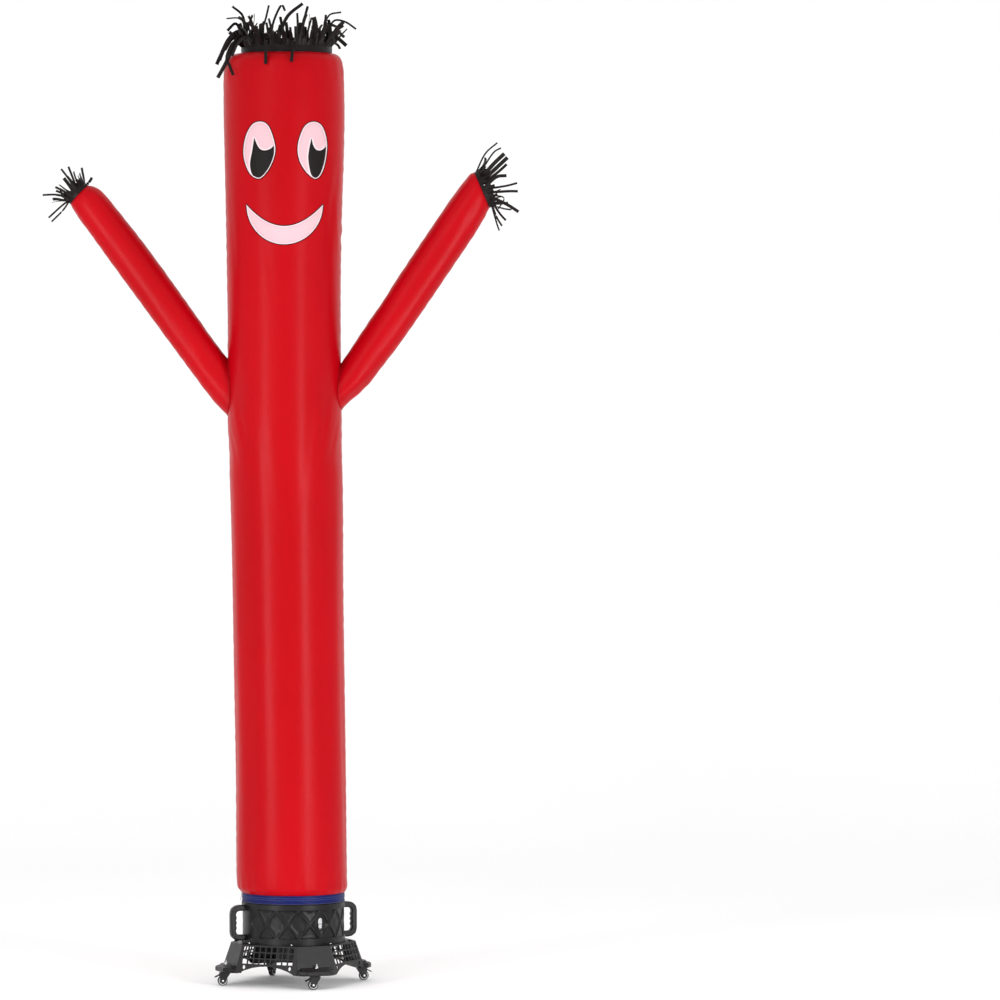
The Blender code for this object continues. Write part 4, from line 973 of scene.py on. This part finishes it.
def fringe(name, node, place, half_width, half_depth, height, rows, seed, locks, side_of):
    """A gathered band round a vent, rows of flat strips sewn into it, and the strips that stand apart."""
    rng = random.Random(seed)
    bm = bmesh.new()
    segments = 96
    thickness = 0.0055
    # The band's wall bulges softly and its hem turns in at the foot.
    section = ((0.0004, 0.0), (0.0, 0.12), (0.0006, 0.4), (0.0004, 0.8), (-0.0006, 1.0),
               (-thickness + 0.0006, 1.0), (-thickness, 0.8), (-thickness, 0.2), (-thickness + 0.0004, 0.0))
    rings = []
    for i in range(segments):
        turn = 2.0 * math.pi * i / segments
        pucker = 0.0007 * ripple(i / segments * 2.0 * math.pi * half_width, 0.024, seed)
        ring = []
        for a, b in section:
            x = (half_width + a + pucker) * math.cos(turn)
            y = (half_depth + a + pucker) * math.sin(turn)
            ring.append(place @ Vector((x, y, height * b)))
        rings.append(ring)
    add_loft(bm, rings, closed_ring=True)
    turn_way = place.to_3x3()
    up = (turn_way @ Vector((0.0, 0.0, 1.0))).normalized()
    for values in rows:
        row = dict(zip(ROW_COLUMNS, values))
        for i in range(row["count"]):
            turn = 2.0 * math.pi * (i + rng.uniform(-0.3, 0.3) + row["phase"]) / row["count"]
            reach_x = half_width - row["depth"]
            reach_y = half_depth - row["depth"]
            base = place @ Vector((reach_x * math.cos(turn), reach_y * math.sin(turn), height * 0.86))
            out = (turn_way @ Vector((math.cos(turn), math.sin(turn), 0.0))).normalized()
            across = up.cross(out).normalized()
            clump = 1.0 + row["clump"] * ripple(turn * half_width, 0.095, seed + 3)
            drift = rng.uniform(-row["drift"], row["drift"])
            twist = rng.uniform(-row["twist"], row["twist"])
            roll = rng.choice((-1.0, 1.0)) * row["roll"] * math.cos(turn) ** 2 * rng.uniform(0.6, 1.0)
            length = clump * rng.uniform(*row["length"])
            strip_mesh(bm, base, across, out, up, length, rng.uniform(*row["width"]),
                       rng.uniform(*row["lean"]), rng.uniform(*row["bend"]), drift, twist, roll, rng)
    for width, points in locks:
        strip_along(bm, points, width, side_of)
    made = from_bmesh(name, bm, STRIP, smooth=50.0)
    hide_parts(node)
    return made


# Rows of strips sewn into a band, each value a column
ROW_COLUMNS = ("count", "phase", "depth", "length", "width", "lean", "bend", "drift", "twist", "roll",
               "clump")
HAIR_ROWS = (
    (60, 0.0, 0.0015, (0.024, 0.054), (0.016, 0.021), (-6.0, 22.0), (-10.0, 30.0), 0.22, 20.0, 25.0, 0.30),
    (54, 0.5, 0.0040, (0.028, 0.072), (0.015, 0.019), (-18.0, 8.0), (-20.0, 16.0), 0.24, 30.0, 30.0, 0.40),
    (44, 0.2, 0.0015, (0.060, 0.124), (0.011, 0.018), (0.0, 46.0), (-10.0, 60.0), 0.36, 50.0, 70.0, 0.20),
    (36, 0.7, 0.0040, (0.075, 0.150), (0.010, 0.016), (-24.0, 16.0), (-35.0, 40.0), 0.34, 80.0, 60.0, 0.20),
)
HAND_ROWS = (
    (26, 0.0, 0.0015, (0.018, 0.034), (0.012, 0.017), (-2.0, 16.0), (-5.0, 20.0), 0.14, 20.0, 20.0, 0.25),
    (22, 0.5, 0.0040, (0.022, 0.040), (0.010, 0.014), (-12.0, 10.0), (-12.0, 12.0), 0.16, 30.0, 25.0, 0.25),
    (10, 0.3, 0.0030, (0.050, 0.095), (0.008, 0.013), (8.0, 40.0), (-5.0, 45.0), 0.26, 60.0, 50.0, 0.15),
)
# Strips of the hair that stand apart: width, then points from the vent's middle as direction, reach, height
HAIR = (
    (0.0170, (-114, 0.186, 0.026), (-111, 0.215, 0.046), (-108.5, 0.244, 0.024), (-107.7, 0.254, -0.012),
     (-107.7, 0.256, -0.056)),
    (0.0145, (-79, 0.186, 0.026), (-80.5, 0.215, 0.044), (-82, 0.244, 0.024), (-82.7, 0.254, -0.008),
     (-83.6, 0.257, -0.047)),
    (0.0165, (-158, 0.186, 0.026), (-155, 0.221, 0.042), (-152.5, 0.252, 0.005), (-158, 0.270, -0.050),
     (-167, 0.290, -0.104)),
    (0.0125, (-166, 0.186, 0.026), (-163, 0.226, 0.042), (-157.5, 0.264, -0.020), (-149, 0.268, -0.060),
     (-142.7, 0.270, -0.098)),
    (0.0160, (172, 0.184, 0.026), (175, 0.198, 0.090), (178, 0.240, 0.060), (180, 0.274, -0.010),
     (181, 0.290, -0.047)),
    (0.0130, (-176, 0.184, 0.026), (-172, 0.207, 0.078), (-170, 0.243, 0.045), (-171, 0.270, -0.008),
     (-172, 0.278, -0.032)),
    (0.0085, (8, 0.186, 0.026), (7, 0.180, 0.100), (5, 0.200, 0.137), (3, 0.245, 0.130), (0, 0.288, 0.100)),
    (0.0165, (-12, 0.186, 0.026), (-10, 0.193, 0.070), (-8, 0.214, 0.062), (-6, 0.250, 0.030)),
    (0.0110, (-25, 0.186, 0.026), (-22, 0.201, 0.044), (-17, 0.222, 0.032), (-12, 0.228, 0.016)),
    (0.0075, (15, 0.182, 0.026), (14, 0.165, 0.110), (12, 0.180, 0.160), (8, 0.228, 0.172)),
    (0.0100, (150, 0.184, 0.026), (155, 0.190, 0.100), (165, 0.192, 0.160), (172, 0.229, 0.196)),
    (0.0065, (-150, 0.184, 0.026), (-158, 0.186, 0.110), (-166, 0.201, 0.142), (-172, 0.250, 0.142)),
    (0.0090, (-125, 0.182, 0.026), (-124, 0.180, 0.075), (-120, 0.165, 0.130), (-113, 0.172, 0.190)),
    (0.0145, (-100, 0.180, 0.026), (-96, 0.150, 0.090), (-85, 0.140, 0.150), (-65, 0.170, 0.197)),
    (0.0100, (-108, 0.182, 0.026), (-107, 0.175, 0.110), (-96, 0.165, 0.188), (-90, 0.172, 0.166)),
    (0.0115, (-62, 0.184, 0.026), (-66, 0.180, 0.105), (-60, 0.165, 0.150), (-55, 0.160, 0.187)),
    (0.0150, (95, 0.186, 0.026), (96, 0.216, 0.046), (97, 0.246, 0.022), (98, 0.256, -0.030)),
    (0.0150, (60, 0.186, 0.026), (62, 0.216, 0.044), (63, 0.246, 0.018), (64, 0.254, -0.050)),
    (0.0140, (130, 0.186, 0.026), (129, 0.218, 0.044), (128, 0.250, 0.010), (127, 0.262, -0.060)),
    (0.0150, (-168, 0.186, 0.026), (-167, 0.204, 0.068), (-166, 0.232, 0.056), (-166, 0.262, 0.010)),
    (0.0140, (-152, 0.186, 0.026), (-151, 0.208, 0.066), (-150, 0.236, 0.050), (-151, 0.258, 0.004)),
    (0.0130, (-140, 0.186, 0.026), (-142, 0.206, 0.060), (-146, 0.238, 0.034), (-150, 0.256, -0.018)),
    (0.0120, (178, 0.184, 0.026), (180, 0.196, 0.100), (183, 0.214, 0.122), (186, 0.246, 0.092)),
    (0.0140, (-155, 0.182, 0.026), (-157, 0.180, 0.088), (-160, 0.186, 0.130), (-164, 0.206, 0.146)),
    (0.0130, (-22, 0.186, 0.026), (-20, 0.198, 0.074), (-17, 0.222, 0.086), (-12, 0.246, 0.064)),
    (0.0120, (-34, 0.184, 0.026), (-32, 0.190, 0.086), (-26, 0.206, 0.112), (-18, 0.232, 0.100)),
)
# Strips of the hands that stand apart: width, depth, then (x, z) points as seen from the front
LEFT_HAND = (
    (0.0095, -0.030, (-0.842, 3.292), (-0.860, 3.345), (-0.879, 3.393)),
    (0.0090, -0.040, (-0.847, 3.288), (-0.872, 3.335), (-0.908, 3.383)),
    (0.0150, -0.045, (-0.852, 3.282), (-0.876, 3.318), (-0.897, 3.345)),
    (0.0100, -0.046, (-0.866, 3.266), (-0.896, 3.290), (-0.932, 3.308)),
    (0.0085, -0.040, (-0.868, 3.262), (-0.925, 3.276), (-0.985, 3.275)),
    (0.0080, -0.030, (-0.874, 3.254), (-0.905, 3.232), (-0.961, 3.181)),
    (0.0075, -0.015, (-0.877, 3.250), (-0.903, 3.212), (-0.950, 3.165)),
    (0.0085, -0.050, (-0.874, 3.254), (-0.900, 3.270), (-0.913, 3.303)),
    (0.0120, 0.0, (-0.806, 3.318), (-0.790, 3.336), (-0.784, 3.349)),
)
RIGHT_HAND = (
    (0.0070, -0.020, (0.812, 3.372), (0.849, 3.447), (0.899, 3.492)),
    (0.0070, -0.035, (0.824, 3.360), (0.880, 3.447), (0.914, 3.470)),
    (0.0170, -0.045, (0.834, 3.345), (0.882, 3.402), (0.928, 3.446)),
    (0.0170, -0.050, (0.840, 3.335), (0.893, 3.385), (0.941, 3.430)),
    (0.0120, -0.055, (0.846, 3.325), (0.905, 3.372), (0.938, 3.402)),
    (0.0140, -0.060, (0.852, 3.312), (0.895, 3.349), (0.937, 3.355)),
    (0.0090, -0.062, (0.856, 3.300), (0.934, 3.312), (0.981, 3.324)),
    (0.0110, -0.060, (0.862, 3.285), (0.941, 3.290), (0.984, 3.290)),
    (0.0135, -0.058, (0.867, 3.270), (0.941, 3.234), (0.987, 3.205)),
    (0.0060, -0.055, (0.866, 3.275), (0.926, 3.263), (0.903, 3.217)),
    (0.0095, -0.045, (0.870, 3.258), (0.907, 3.201), (0.934, 3.170)),
    (0.0085, -0.035, (0.872, 3.250), (0.895, 3.186), (0.918, 3.147)),
    (0.0070, -0.020, (0.872, 3.245), (0.895, 3.163), (0.907, 3.128)),
)


def side_of_lock(middle, place, way):
    """The way across a lock: round the head in front, and turned flat to the front at the sides."""
    around = Vector((middle.y - place.y, place.x - middle.x, 0.0)).normalized()
    sideways = abs(around.y)
    flat = way.cross(Vector((0.0, -1.0, 0.0)))
    return around * (1.0 - sideways) + flat * 1.6 * sideways + around * 0.25


def build_fringes():
    """The hair round the head's vent and the fringe at each hand."""
    middle = AXIS + Vector((-0.025, 0.0, 3.8633))
    locks = []
    for width, *points in HAIR:
        line = []
        for direction, reach, height in points:
            turn = math.radians(direction)
            line.append(middle + Vector((reach * math.cos(turn), reach * math.sin(turn), height)))
        locks.append((width, line))
    made = [fringe("hair_strips", "head_fringe", Matrix.Translation(middle), 0.188, 0.188, 0.030,
                   HAIR_ROWS, 11, locks,
                   lambda place, way: side_of_lock(middle, place, way))]
    for arm, node, seed, table in ((LEFT_ARM, "hand_fringe_left", 5, LEFT_HAND),
                                   (RIGHT_ARM, "hand_fringe_right", 8, RIGHT_HAND)):
        along, aside, half_width, half_depth, tilt = arm["rows"][-1]
        place = arm_frame(arm, along, aside, tilt) @ Matrix.Translation((0.0, 0.0, 0.0003))
        locks = [(width, [Vector((x, depth, z)) for x, z in points]) for width, depth, *points in table]
        across = (place.to_3x3() @ Vector((1.0, 0.0, 0.0))).normalized()
        made.append(fringe(node.replace("fringe_", "") + "_strips", node, place, half_width, half_depth,
                           0.014, HAND_ROWS,
                           seed, locks, lambda place, way, side=across: side))
    return made


def build_collar():
    """Blue collar with a soft wave, four rows of stitches, a dark lower binding and its strap end."""
    inner, outer = 0.2104, 0.2132
    low, high = 0.3405, 0.3885
    heights = [low + (high - low) * i / 15 for i in range(16)]
    segments = 168
    points = []
    for height in heights:
        share = (height - low) / (high - low)
        for i in range(segments):
            angle = 360.0 * i / segments
            wave = 0.0007 * ripple(math.radians(angle) * 0.213 + 0.3 * share, 0.085, 0.4)
            puff = 0.0006 * math.sin(math.pi * share)
            points.append(polar(angle, outer - 0.0008 + wave + puff, height))
    collar = from_points("collar_cloth", points, grid_faces(len(heights), segments), BLUE)
    thicken(collar, 0.0012, -1.0)
    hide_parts("collar")
    bm = bmesh.new()
    for height in (0.3455, 0.3615, 0.3690, 0.3840):
        count = 190
        for i in range(count):
            place = frame_at(360.0 * i / count + 3.0 * math.sin(height * 9000.0))
            reach = outer + 0.0007 * ripple(math.radians(360.0 * i / count) * 0.213, 0.085, 0.4)
            box_shape(bm, (reach - 0.0008, -0.0024, height - 0.00045),
                      (reach + 0.0007, 0.0024, height + 0.00045), place)
    thread = from_bmesh("collar_stitches", bm, BLUE_THREAD)
    bm = bmesh.new()
    turned(bm, ((outer - 0.0004, low + 0.0046), (outer + 0.0008, low + 0.0040),
                (outer + 0.0010, low + 0.0008),
                (outer + 0.0004, low), (inner, low), (inner, low + 0.0046)), Matrix.Translation(AXIS), 168)
    binding = from_bmesh("collar_binding", bm, STRIP, smooth=60.0)
    place = frame_at(182.0)
    bm = bmesh.new()
    rings = []
    for k in range(9):
        share = k / 8
        z = 0.3805 - 0.0345 * share
        reach = 0.2137 + 0.0008 + 0.0055 * share * share
        half = 0.0060 - 0.0004 * math.sin(9.0 * share)
        rings.append([place @ Vector((reach + a, b, z)) for a, b in
                      ((0.0, -half), (0.0012, -half + 0.0006), (0.0014, 0.0), (0.0012, half - 0.0006),
                       (0.0, half))])
    add_loft(bm, rings)
    strap = from_bmesh("collar_strap_end", bm, STRIP, smooth=40.0)
    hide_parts("collar_strap")
    return collar, [thread, binding, strap]


def build_hook_tape():
    """Hook tape with its selvedges."""
    bm = bmesh.new()
    profile = ((0.2074, 0.3405), (0.2090, 0.3405), (0.2093, 0.3420), (0.2100, 0.3424), (0.2100, 0.3876),
               (0.2093, 0.3880),
               (0.2090, 0.3895), (0.2074, 0.3895))
    turned(bm, profile, Matrix.Translation(AXIS), 168)
    tape = from_bmesh("hook_tape_band", bm, HOOK, smooth=50.0)
    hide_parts("hook_tape")
    return tape


def copy_of(name, node, material, width=0.0008, segments=2, angle=30.0):
    """A CAD node's own shape with its edges rounded."""
    source = frame["nodes"][node]
    bm = bmesh.new()
    bm.from_mesh(source.data)
    bmesh.ops.remove_doubles(bm, verts=bm.verts, dist=0.00002)
    bmesh.ops.dissolve_limit(bm, angle_limit=math.radians(1.0), verts=bm.verts, edges=bm.edges)
    body = source["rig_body"]
    made = from_bmesh(name, bm, material, body, smooth=35.0)
    if width:
        edge = made.modifiers.new("rounded", "BEVEL")
        edge.width = width
        edge.segments = segments
        edge.limit_method = "ANGLE"
        edge.angle_limit = math.radians(angle)
        edge.harden_normals = False
    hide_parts(node)
    return made


def build_barrel():
    """The barrel with true round rings and rim, and its ribbed panels bent round the drum."""
    segments = 28
    source = frame["nodes"]["barrel"]
    bm = bmesh.new()
    bm.from_mesh(source.data)
    bmesh.ops.remove_doubles(bm, verts=bm.verts, dist=0.00002)
    long_edges = [e for e in bm.edges if e.calc_length() > 0.012]
    bmesh.ops.subdivide_edges(bm, edges=long_edges, cuts=3, use_grid_fill=True)
    half = math.pi / segments
    first = math.radians(LEG_ANGLE)
    for vertex in bm.verts:
        flat = vertex.co - AXIS
        angle = math.atan2(flat.y, flat.x) - first
        away = (angle % (2.0 * half)) - half
        # From the flat side of the 28-sided drum out to its circle
        grow = math.cos(away) / math.cos(half)
        vertex.co.x = AXIS.x + flat.x * grow
        vertex.co.y = AXIS.y + flat.y * grow
    barrel = from_bmesh("barrel_moulding", bm, PLASTIC, smooth=24.0)
    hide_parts("barrel")
    return barrel


def build_blower():
    """Barrel, base, handles and the small fittings on them."""
    build_barrel()
    base = copy_of("base_moulding", "base", PLASTIC, 0.0009, 2, 25.0)
    for side in ("left", "right"):
        handle = copy_of("handle_%s_moulding" % side, "handle_" + side, PLASTIC, 0.0016, 3, 28.0)
    for end in ("front", "back"):
        plate = copy_of("bracket_%s_plate" % end, "bracket_" + end, ZINC, 0.0004, 2)
        ring = copy_of("tie_ring_%s_wire" % end, "tie_ring_" + end, BLACK_STEEL, 0.0)
        ring.modifiers.new("round", "SUBSURF").render_levels = 2
        ring.modifiers["round"].levels = 2
    motor = copy_of("motor_housing", "motor", BLACK_STEEL, 0.0015, 2)
    cross = copy_of("motor_bracket_plate", "motor_bracket", ZINC, 0.0006, 2)
    screws = bmesh.new()
    for k in range(4):
        for aside in (-24.0, 24.0):
            place = frame_at(LEG_ANGLE + 45.0 + 90.0 * k + aside) @ Matrix.Translation((0.238, 0.0, 0.180))
            stud_shape(screws, ((0.0046, -0.0004), (0.0048, 0.0004), (0.0046, 0.0016), (0.0034, 0.0026),
                                (0.0016, 0.0030)),
                       place, 16)
    for angle, reach in ((-56.043, 0.2096), (98.243, 0.2096)):
        place = frame_at(angle) @ Matrix.Translation((reach, 0.0, 0.0)) @ Matrix.Rotation(math.pi / 2.0,
                                                                                          4, "Y")
        for z in (0.278, 0.246):
            rivet = Matrix.Translation((0.0, 0.0, z)) @ place
            stud_shape(screws, ((0.0034, -0.0006), (0.0034, 0.0006), (0.0028, 0.0016), (0.0014, 0.0021)),
                       rivet, 16)
    heads = from_bmesh("screws_and_rivets", screws, CHROME, smooth=50.0)
    holes = bmesh.new()
    for angle in (21.1, 201.1):
        for r, z in ((0.266, 0.2035), (0.266, 0.3135), (0.232, 0.3205)):
            for side in (-1.0, 1.0):
                place = frame_at(angle) @ Matrix.Translation((r, side * 0.0144, z))
                place = place @ Matrix.Rotation(-side * math.pi / 2.0, 4, "X")
                turned(holes, ((0.0022, 0.0), (0.0050, 0.0), (0.0050, 0.0004), (0.0042, 0.0009),
                               (0.0030, 0.0009)), place, 20)
                stud_shape(holes, ((0.0026, -0.0002), (0.0026, 0.0003), (0.0012, 0.0004)), place, 12)
    rings = from_bmesh("handle_screw_seats", holes, BLACK_STEEL, smooth=40.0)


def build_caster(name, leg_angle):
    """One caster: stud with washer and nut, fork, ringed wheel on its axle, and a ridged brake pedal."""
    swivel = polar(leg_angle, 0.294, 0.0)
    place = Matrix.Translation(swivel)
    bm = bmesh.new()
    stud_shape(bm, ((0.0125, 0.0545), (0.0128, 0.0549), (0.0125, 0.0556), (0.0116, 0.0577),
                    (0.0042, 0.0577),
                    (0.0042, 0.0882)), place, 28)
    stud_shape(bm, ((0.0085, 0.0883), (0.0087, 0.0892), (0.0085, 0.0901)), place, 28)
    stud_shape(bm, ((0.0062, 0.0901), (0.0069, 0.0907), (0.0069, 0.0960), (0.0062, 0.0966)), place, 6, 10.0)
    thread = []
    for k in range(12):
        thread.append((0.0040 if k % 2 else 0.0036, 0.0966 + 0.0007 * k))
    stud_shape(bm, thread + [(0.0030, 0.1055)], place, 20)
    stud = from_bmesh("caster_%s_stud" % name, bm, CHROME, smooth=35.0)
    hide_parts("caster_stud_" + name)
    fork = copy_of("caster_%s_fork" % name, "caster_fork_" + name, BLACK_STEEL, 0.0006, 2, 30.0)
    low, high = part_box("wheel_" + name)
    hub = (low + high) / 2.0
    source = frame["nodes"]["wheel_" + name]
    axle = wheel_axis(source)
    facing = Matrix.Translation(hub) @ axle.to_track_quat("Z", "Y").to_matrix().to_4x4()
    bm = bmesh.new()
    profile = [(0.0032, -0.0109), (0.0078, -0.0109), (0.0082, -0.0100), (0.0098, -0.0072),
               (0.0150, -0.0070),
               (0.0163, -0.0094), (0.0176, -0.0095), (0.0198, -0.0080), (0.0206, -0.0052)]
    profile += [(0.0208, 0.0)] + [(r, -z) for r, z in reversed(profile)]
    turned(bm, profile, facing, 48)
    wheel = from_bmesh("caster_%s_wheel" % name, bm, TYRE, "caster_wheel_" + name, smooth=35.0)
    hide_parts("wheel_" + name)
    bm = bmesh.new()
    for side in (-1.0, 1.0):
        turned(bm, ((0.0136, side * 0.0066), (0.0138, side * 0.0086), (0.0147, side * 0.0096),
                    (0.0166, side * 0.0098),
                    (0.0168, side * 0.0090)), facing, 48)
        for k in range(5):
            spoke = facing @ Matrix.Rotation(math.radians(72.0 * k + 11.0), 4, "Z")
            box_shape(bm, (0.0076, -0.0007, min(side * 0.0066, side * 0.0086)),
                      (0.0138, 0.0007, max(side * 0.0066, side * 0.0086)), spoke)
    ring = from_bmesh("caster_%s_wheel_ring" % name, bm, RIM_WHITE, "caster_wheel_" + name, smooth=35.0)
    bm = bmesh.new()
    for side in (-1.0, 1.0):
        end = facing @ Matrix.Translation((0.0, 0.0, side * 0.0152))
        if side < 0.0:
            end = end @ Matrix.Rotation(math.pi, 4, "X")
        stud_shape(bm, ((0.0046, -0.0014), (0.0050, -0.0008), (0.0050, 0.0010), (0.0044, 0.0015)), end, 6,
                   15.0)
        stud_shape(bm, ((0.0024, 0.0014), (0.0024, 0.0022), (0.0018, 0.0026)), end, 14)
    nuts = from_bmesh("caster_%s_axle_nuts" % name, bm, CHROME, "caster_" + name, smooth=35.0)
    pedal = copy_of("caster_%s_pedal" % name, "pedal_" + name, PEDAL_PLASTIC, 0.0007, 2, 25.0)


def wheel_axis(source):
    """Direction of a wheel's axle, the way its hub's bosses are furthest apart across the floor."""
    points = [v.co for v in source.data.vertices]
    centre = sum(points, Vector()) / len(points)
    best = None
    for step in range(180):
        turn = math.radians(step)
        way = Vector((math.cos(turn), math.sin(turn), 0.0))
        reach = max(abs((p - centre).dot(way)) for p in points)
        if best is None or reach < best[0]:
            best = (reach, way)
    return best[1]


def area_light(name, place, target, size, size_y, power, colour=(1.0, 1.0, 1.0)):
    """A soft rectangular light that looks at a point."""
    data = bpy.data.lights.new(name, "AREA")
    data.shape = "RECTANGLE"
    data.size = size
    data.size_y = size_y
    data.energy = power
    data.color = colour
    made = bpy.data.objects.new(name, data)
    bpy.context.scene.collection.objects.link(made)
    made.location = place
    made.rotation_euler = (Vector(target) - Vector(place)).to_track_quat("-Z", "Y").to_euler()
    return made


def build_stage():
    """Pale floor that curves up behind the object, soft studio lights and a white surround."""
    material, nodes, links, shader = paint("pale_studio_floor", (0.93, 0.93, 0.93), 0.9)
    tone, _ = noise(nodes, links, 0.4, 2.0)
    links.new(ramp(nodes, links, tone, (0.955, 0.955, 0.955), (0.968, 0.968, 0.968)),
              shader.inputs["Base Color"])
    width = 60.0
    profile = [(-40.0, 0.0), (6.0, 0.0)]
    for i in range(1, 13):
        turn = math.radians(90.0 * i / 12)
        profile.append((6.0 + 6.0 * math.sin(turn), 6.0 - 6.0 * math.cos(turn)))
    profile.append((12.0, 30.0))
    points = [(side * width, y, z) for y, z in profile for side in (-1.0, 1.0)]
    mesh = bpy.data.meshes.new("studio_floor")
    mesh.from_pydata(points, [],
                     [(2 * i, 2 * i + 1, 2 * i + 3, 2 * i + 2) for i in range(len(profile) - 1)])
    floor = bpy.data.objects.new("studio_floor", mesh)
    bpy.context.scene.collection.objects.link(floor)
    mesh.materials.append(material)
    mesh.shade_smooth()
    world = bpy.data.worlds.new("studio")
    bpy.context.scene.world = world
    world.use_nodes = True
    world.node_tree.nodes["Background"].inputs["Color"].default_value = (1.0, 1.0, 1.0, 1.0)
    world.node_tree.nodes["Background"].inputs["Strength"].default_value = 0.97
    centre = Vector((0.02, 0.0, 0.0))
    for side, power in ((-1.0, 120.0), (1.0, 140.0)):
        turn = math.radians(38.0)
        place = centre + Vector((side * 5.5 * math.sin(turn), -5.5 * math.cos(turn), 1.35))
        area_light("strip_%s" % ("left" if side < 0 else "right"), place, centre + Vector((0.0, 0.0, 1.35)),
                   0.55, 2.9, power)
    area_light("key", (-3.5, -9.0, 6.5), (0.0, 0.0, 2.0), 4.0, 4.0, 120.0)
    view = bpy.context.scene.view_settings
    view.view_transform = "Standard"
    view.look = "None"


def build_camera():
    """A long lens a little above the figure's middle, level with its chest."""
    data = bpy.data.cameras.new("camera")
    data.sensor_width = 36.0
    camera = bpy.data.objects.new("camera", data)
    bpy.context.scene.collection.objects.link(camera)
    place = Vector((0.910, -25.0, 2.62))
    target = Vector((0.910, 0.0, 2.010))
    distance = (target - place).length
    data.lens = 36.0 * distance / 4.155
    data.clip_end = 200.0
    camera.location = place
    camera.rotation_euler = (target - place).to_track_quat("-Z", "Y").to_euler()
    bpy.context.scene.camera = camera


def build():
    build_camera()
    build_stage()
    LEFT_ARM["curve"] = Curve(LEFT_ARM["rows"])
    RIGHT_ARM["curve"] = Curve(RIGHT_ARM["rows"])
    body = build_body()
    sleeves = [build_arm(arm) for arm in (LEFT_ARM, RIGHT_ARM)]
    patches, trim = build_face()
    fringes = build_fringes()
    collar, collar_pieces = build_collar()
    tape = build_hook_tape()
    build_blower()
    for k, name in enumerate(CASTER_NAMES):
        build_caster(name, LEG_ANGLE + 90.0 * k)


build()
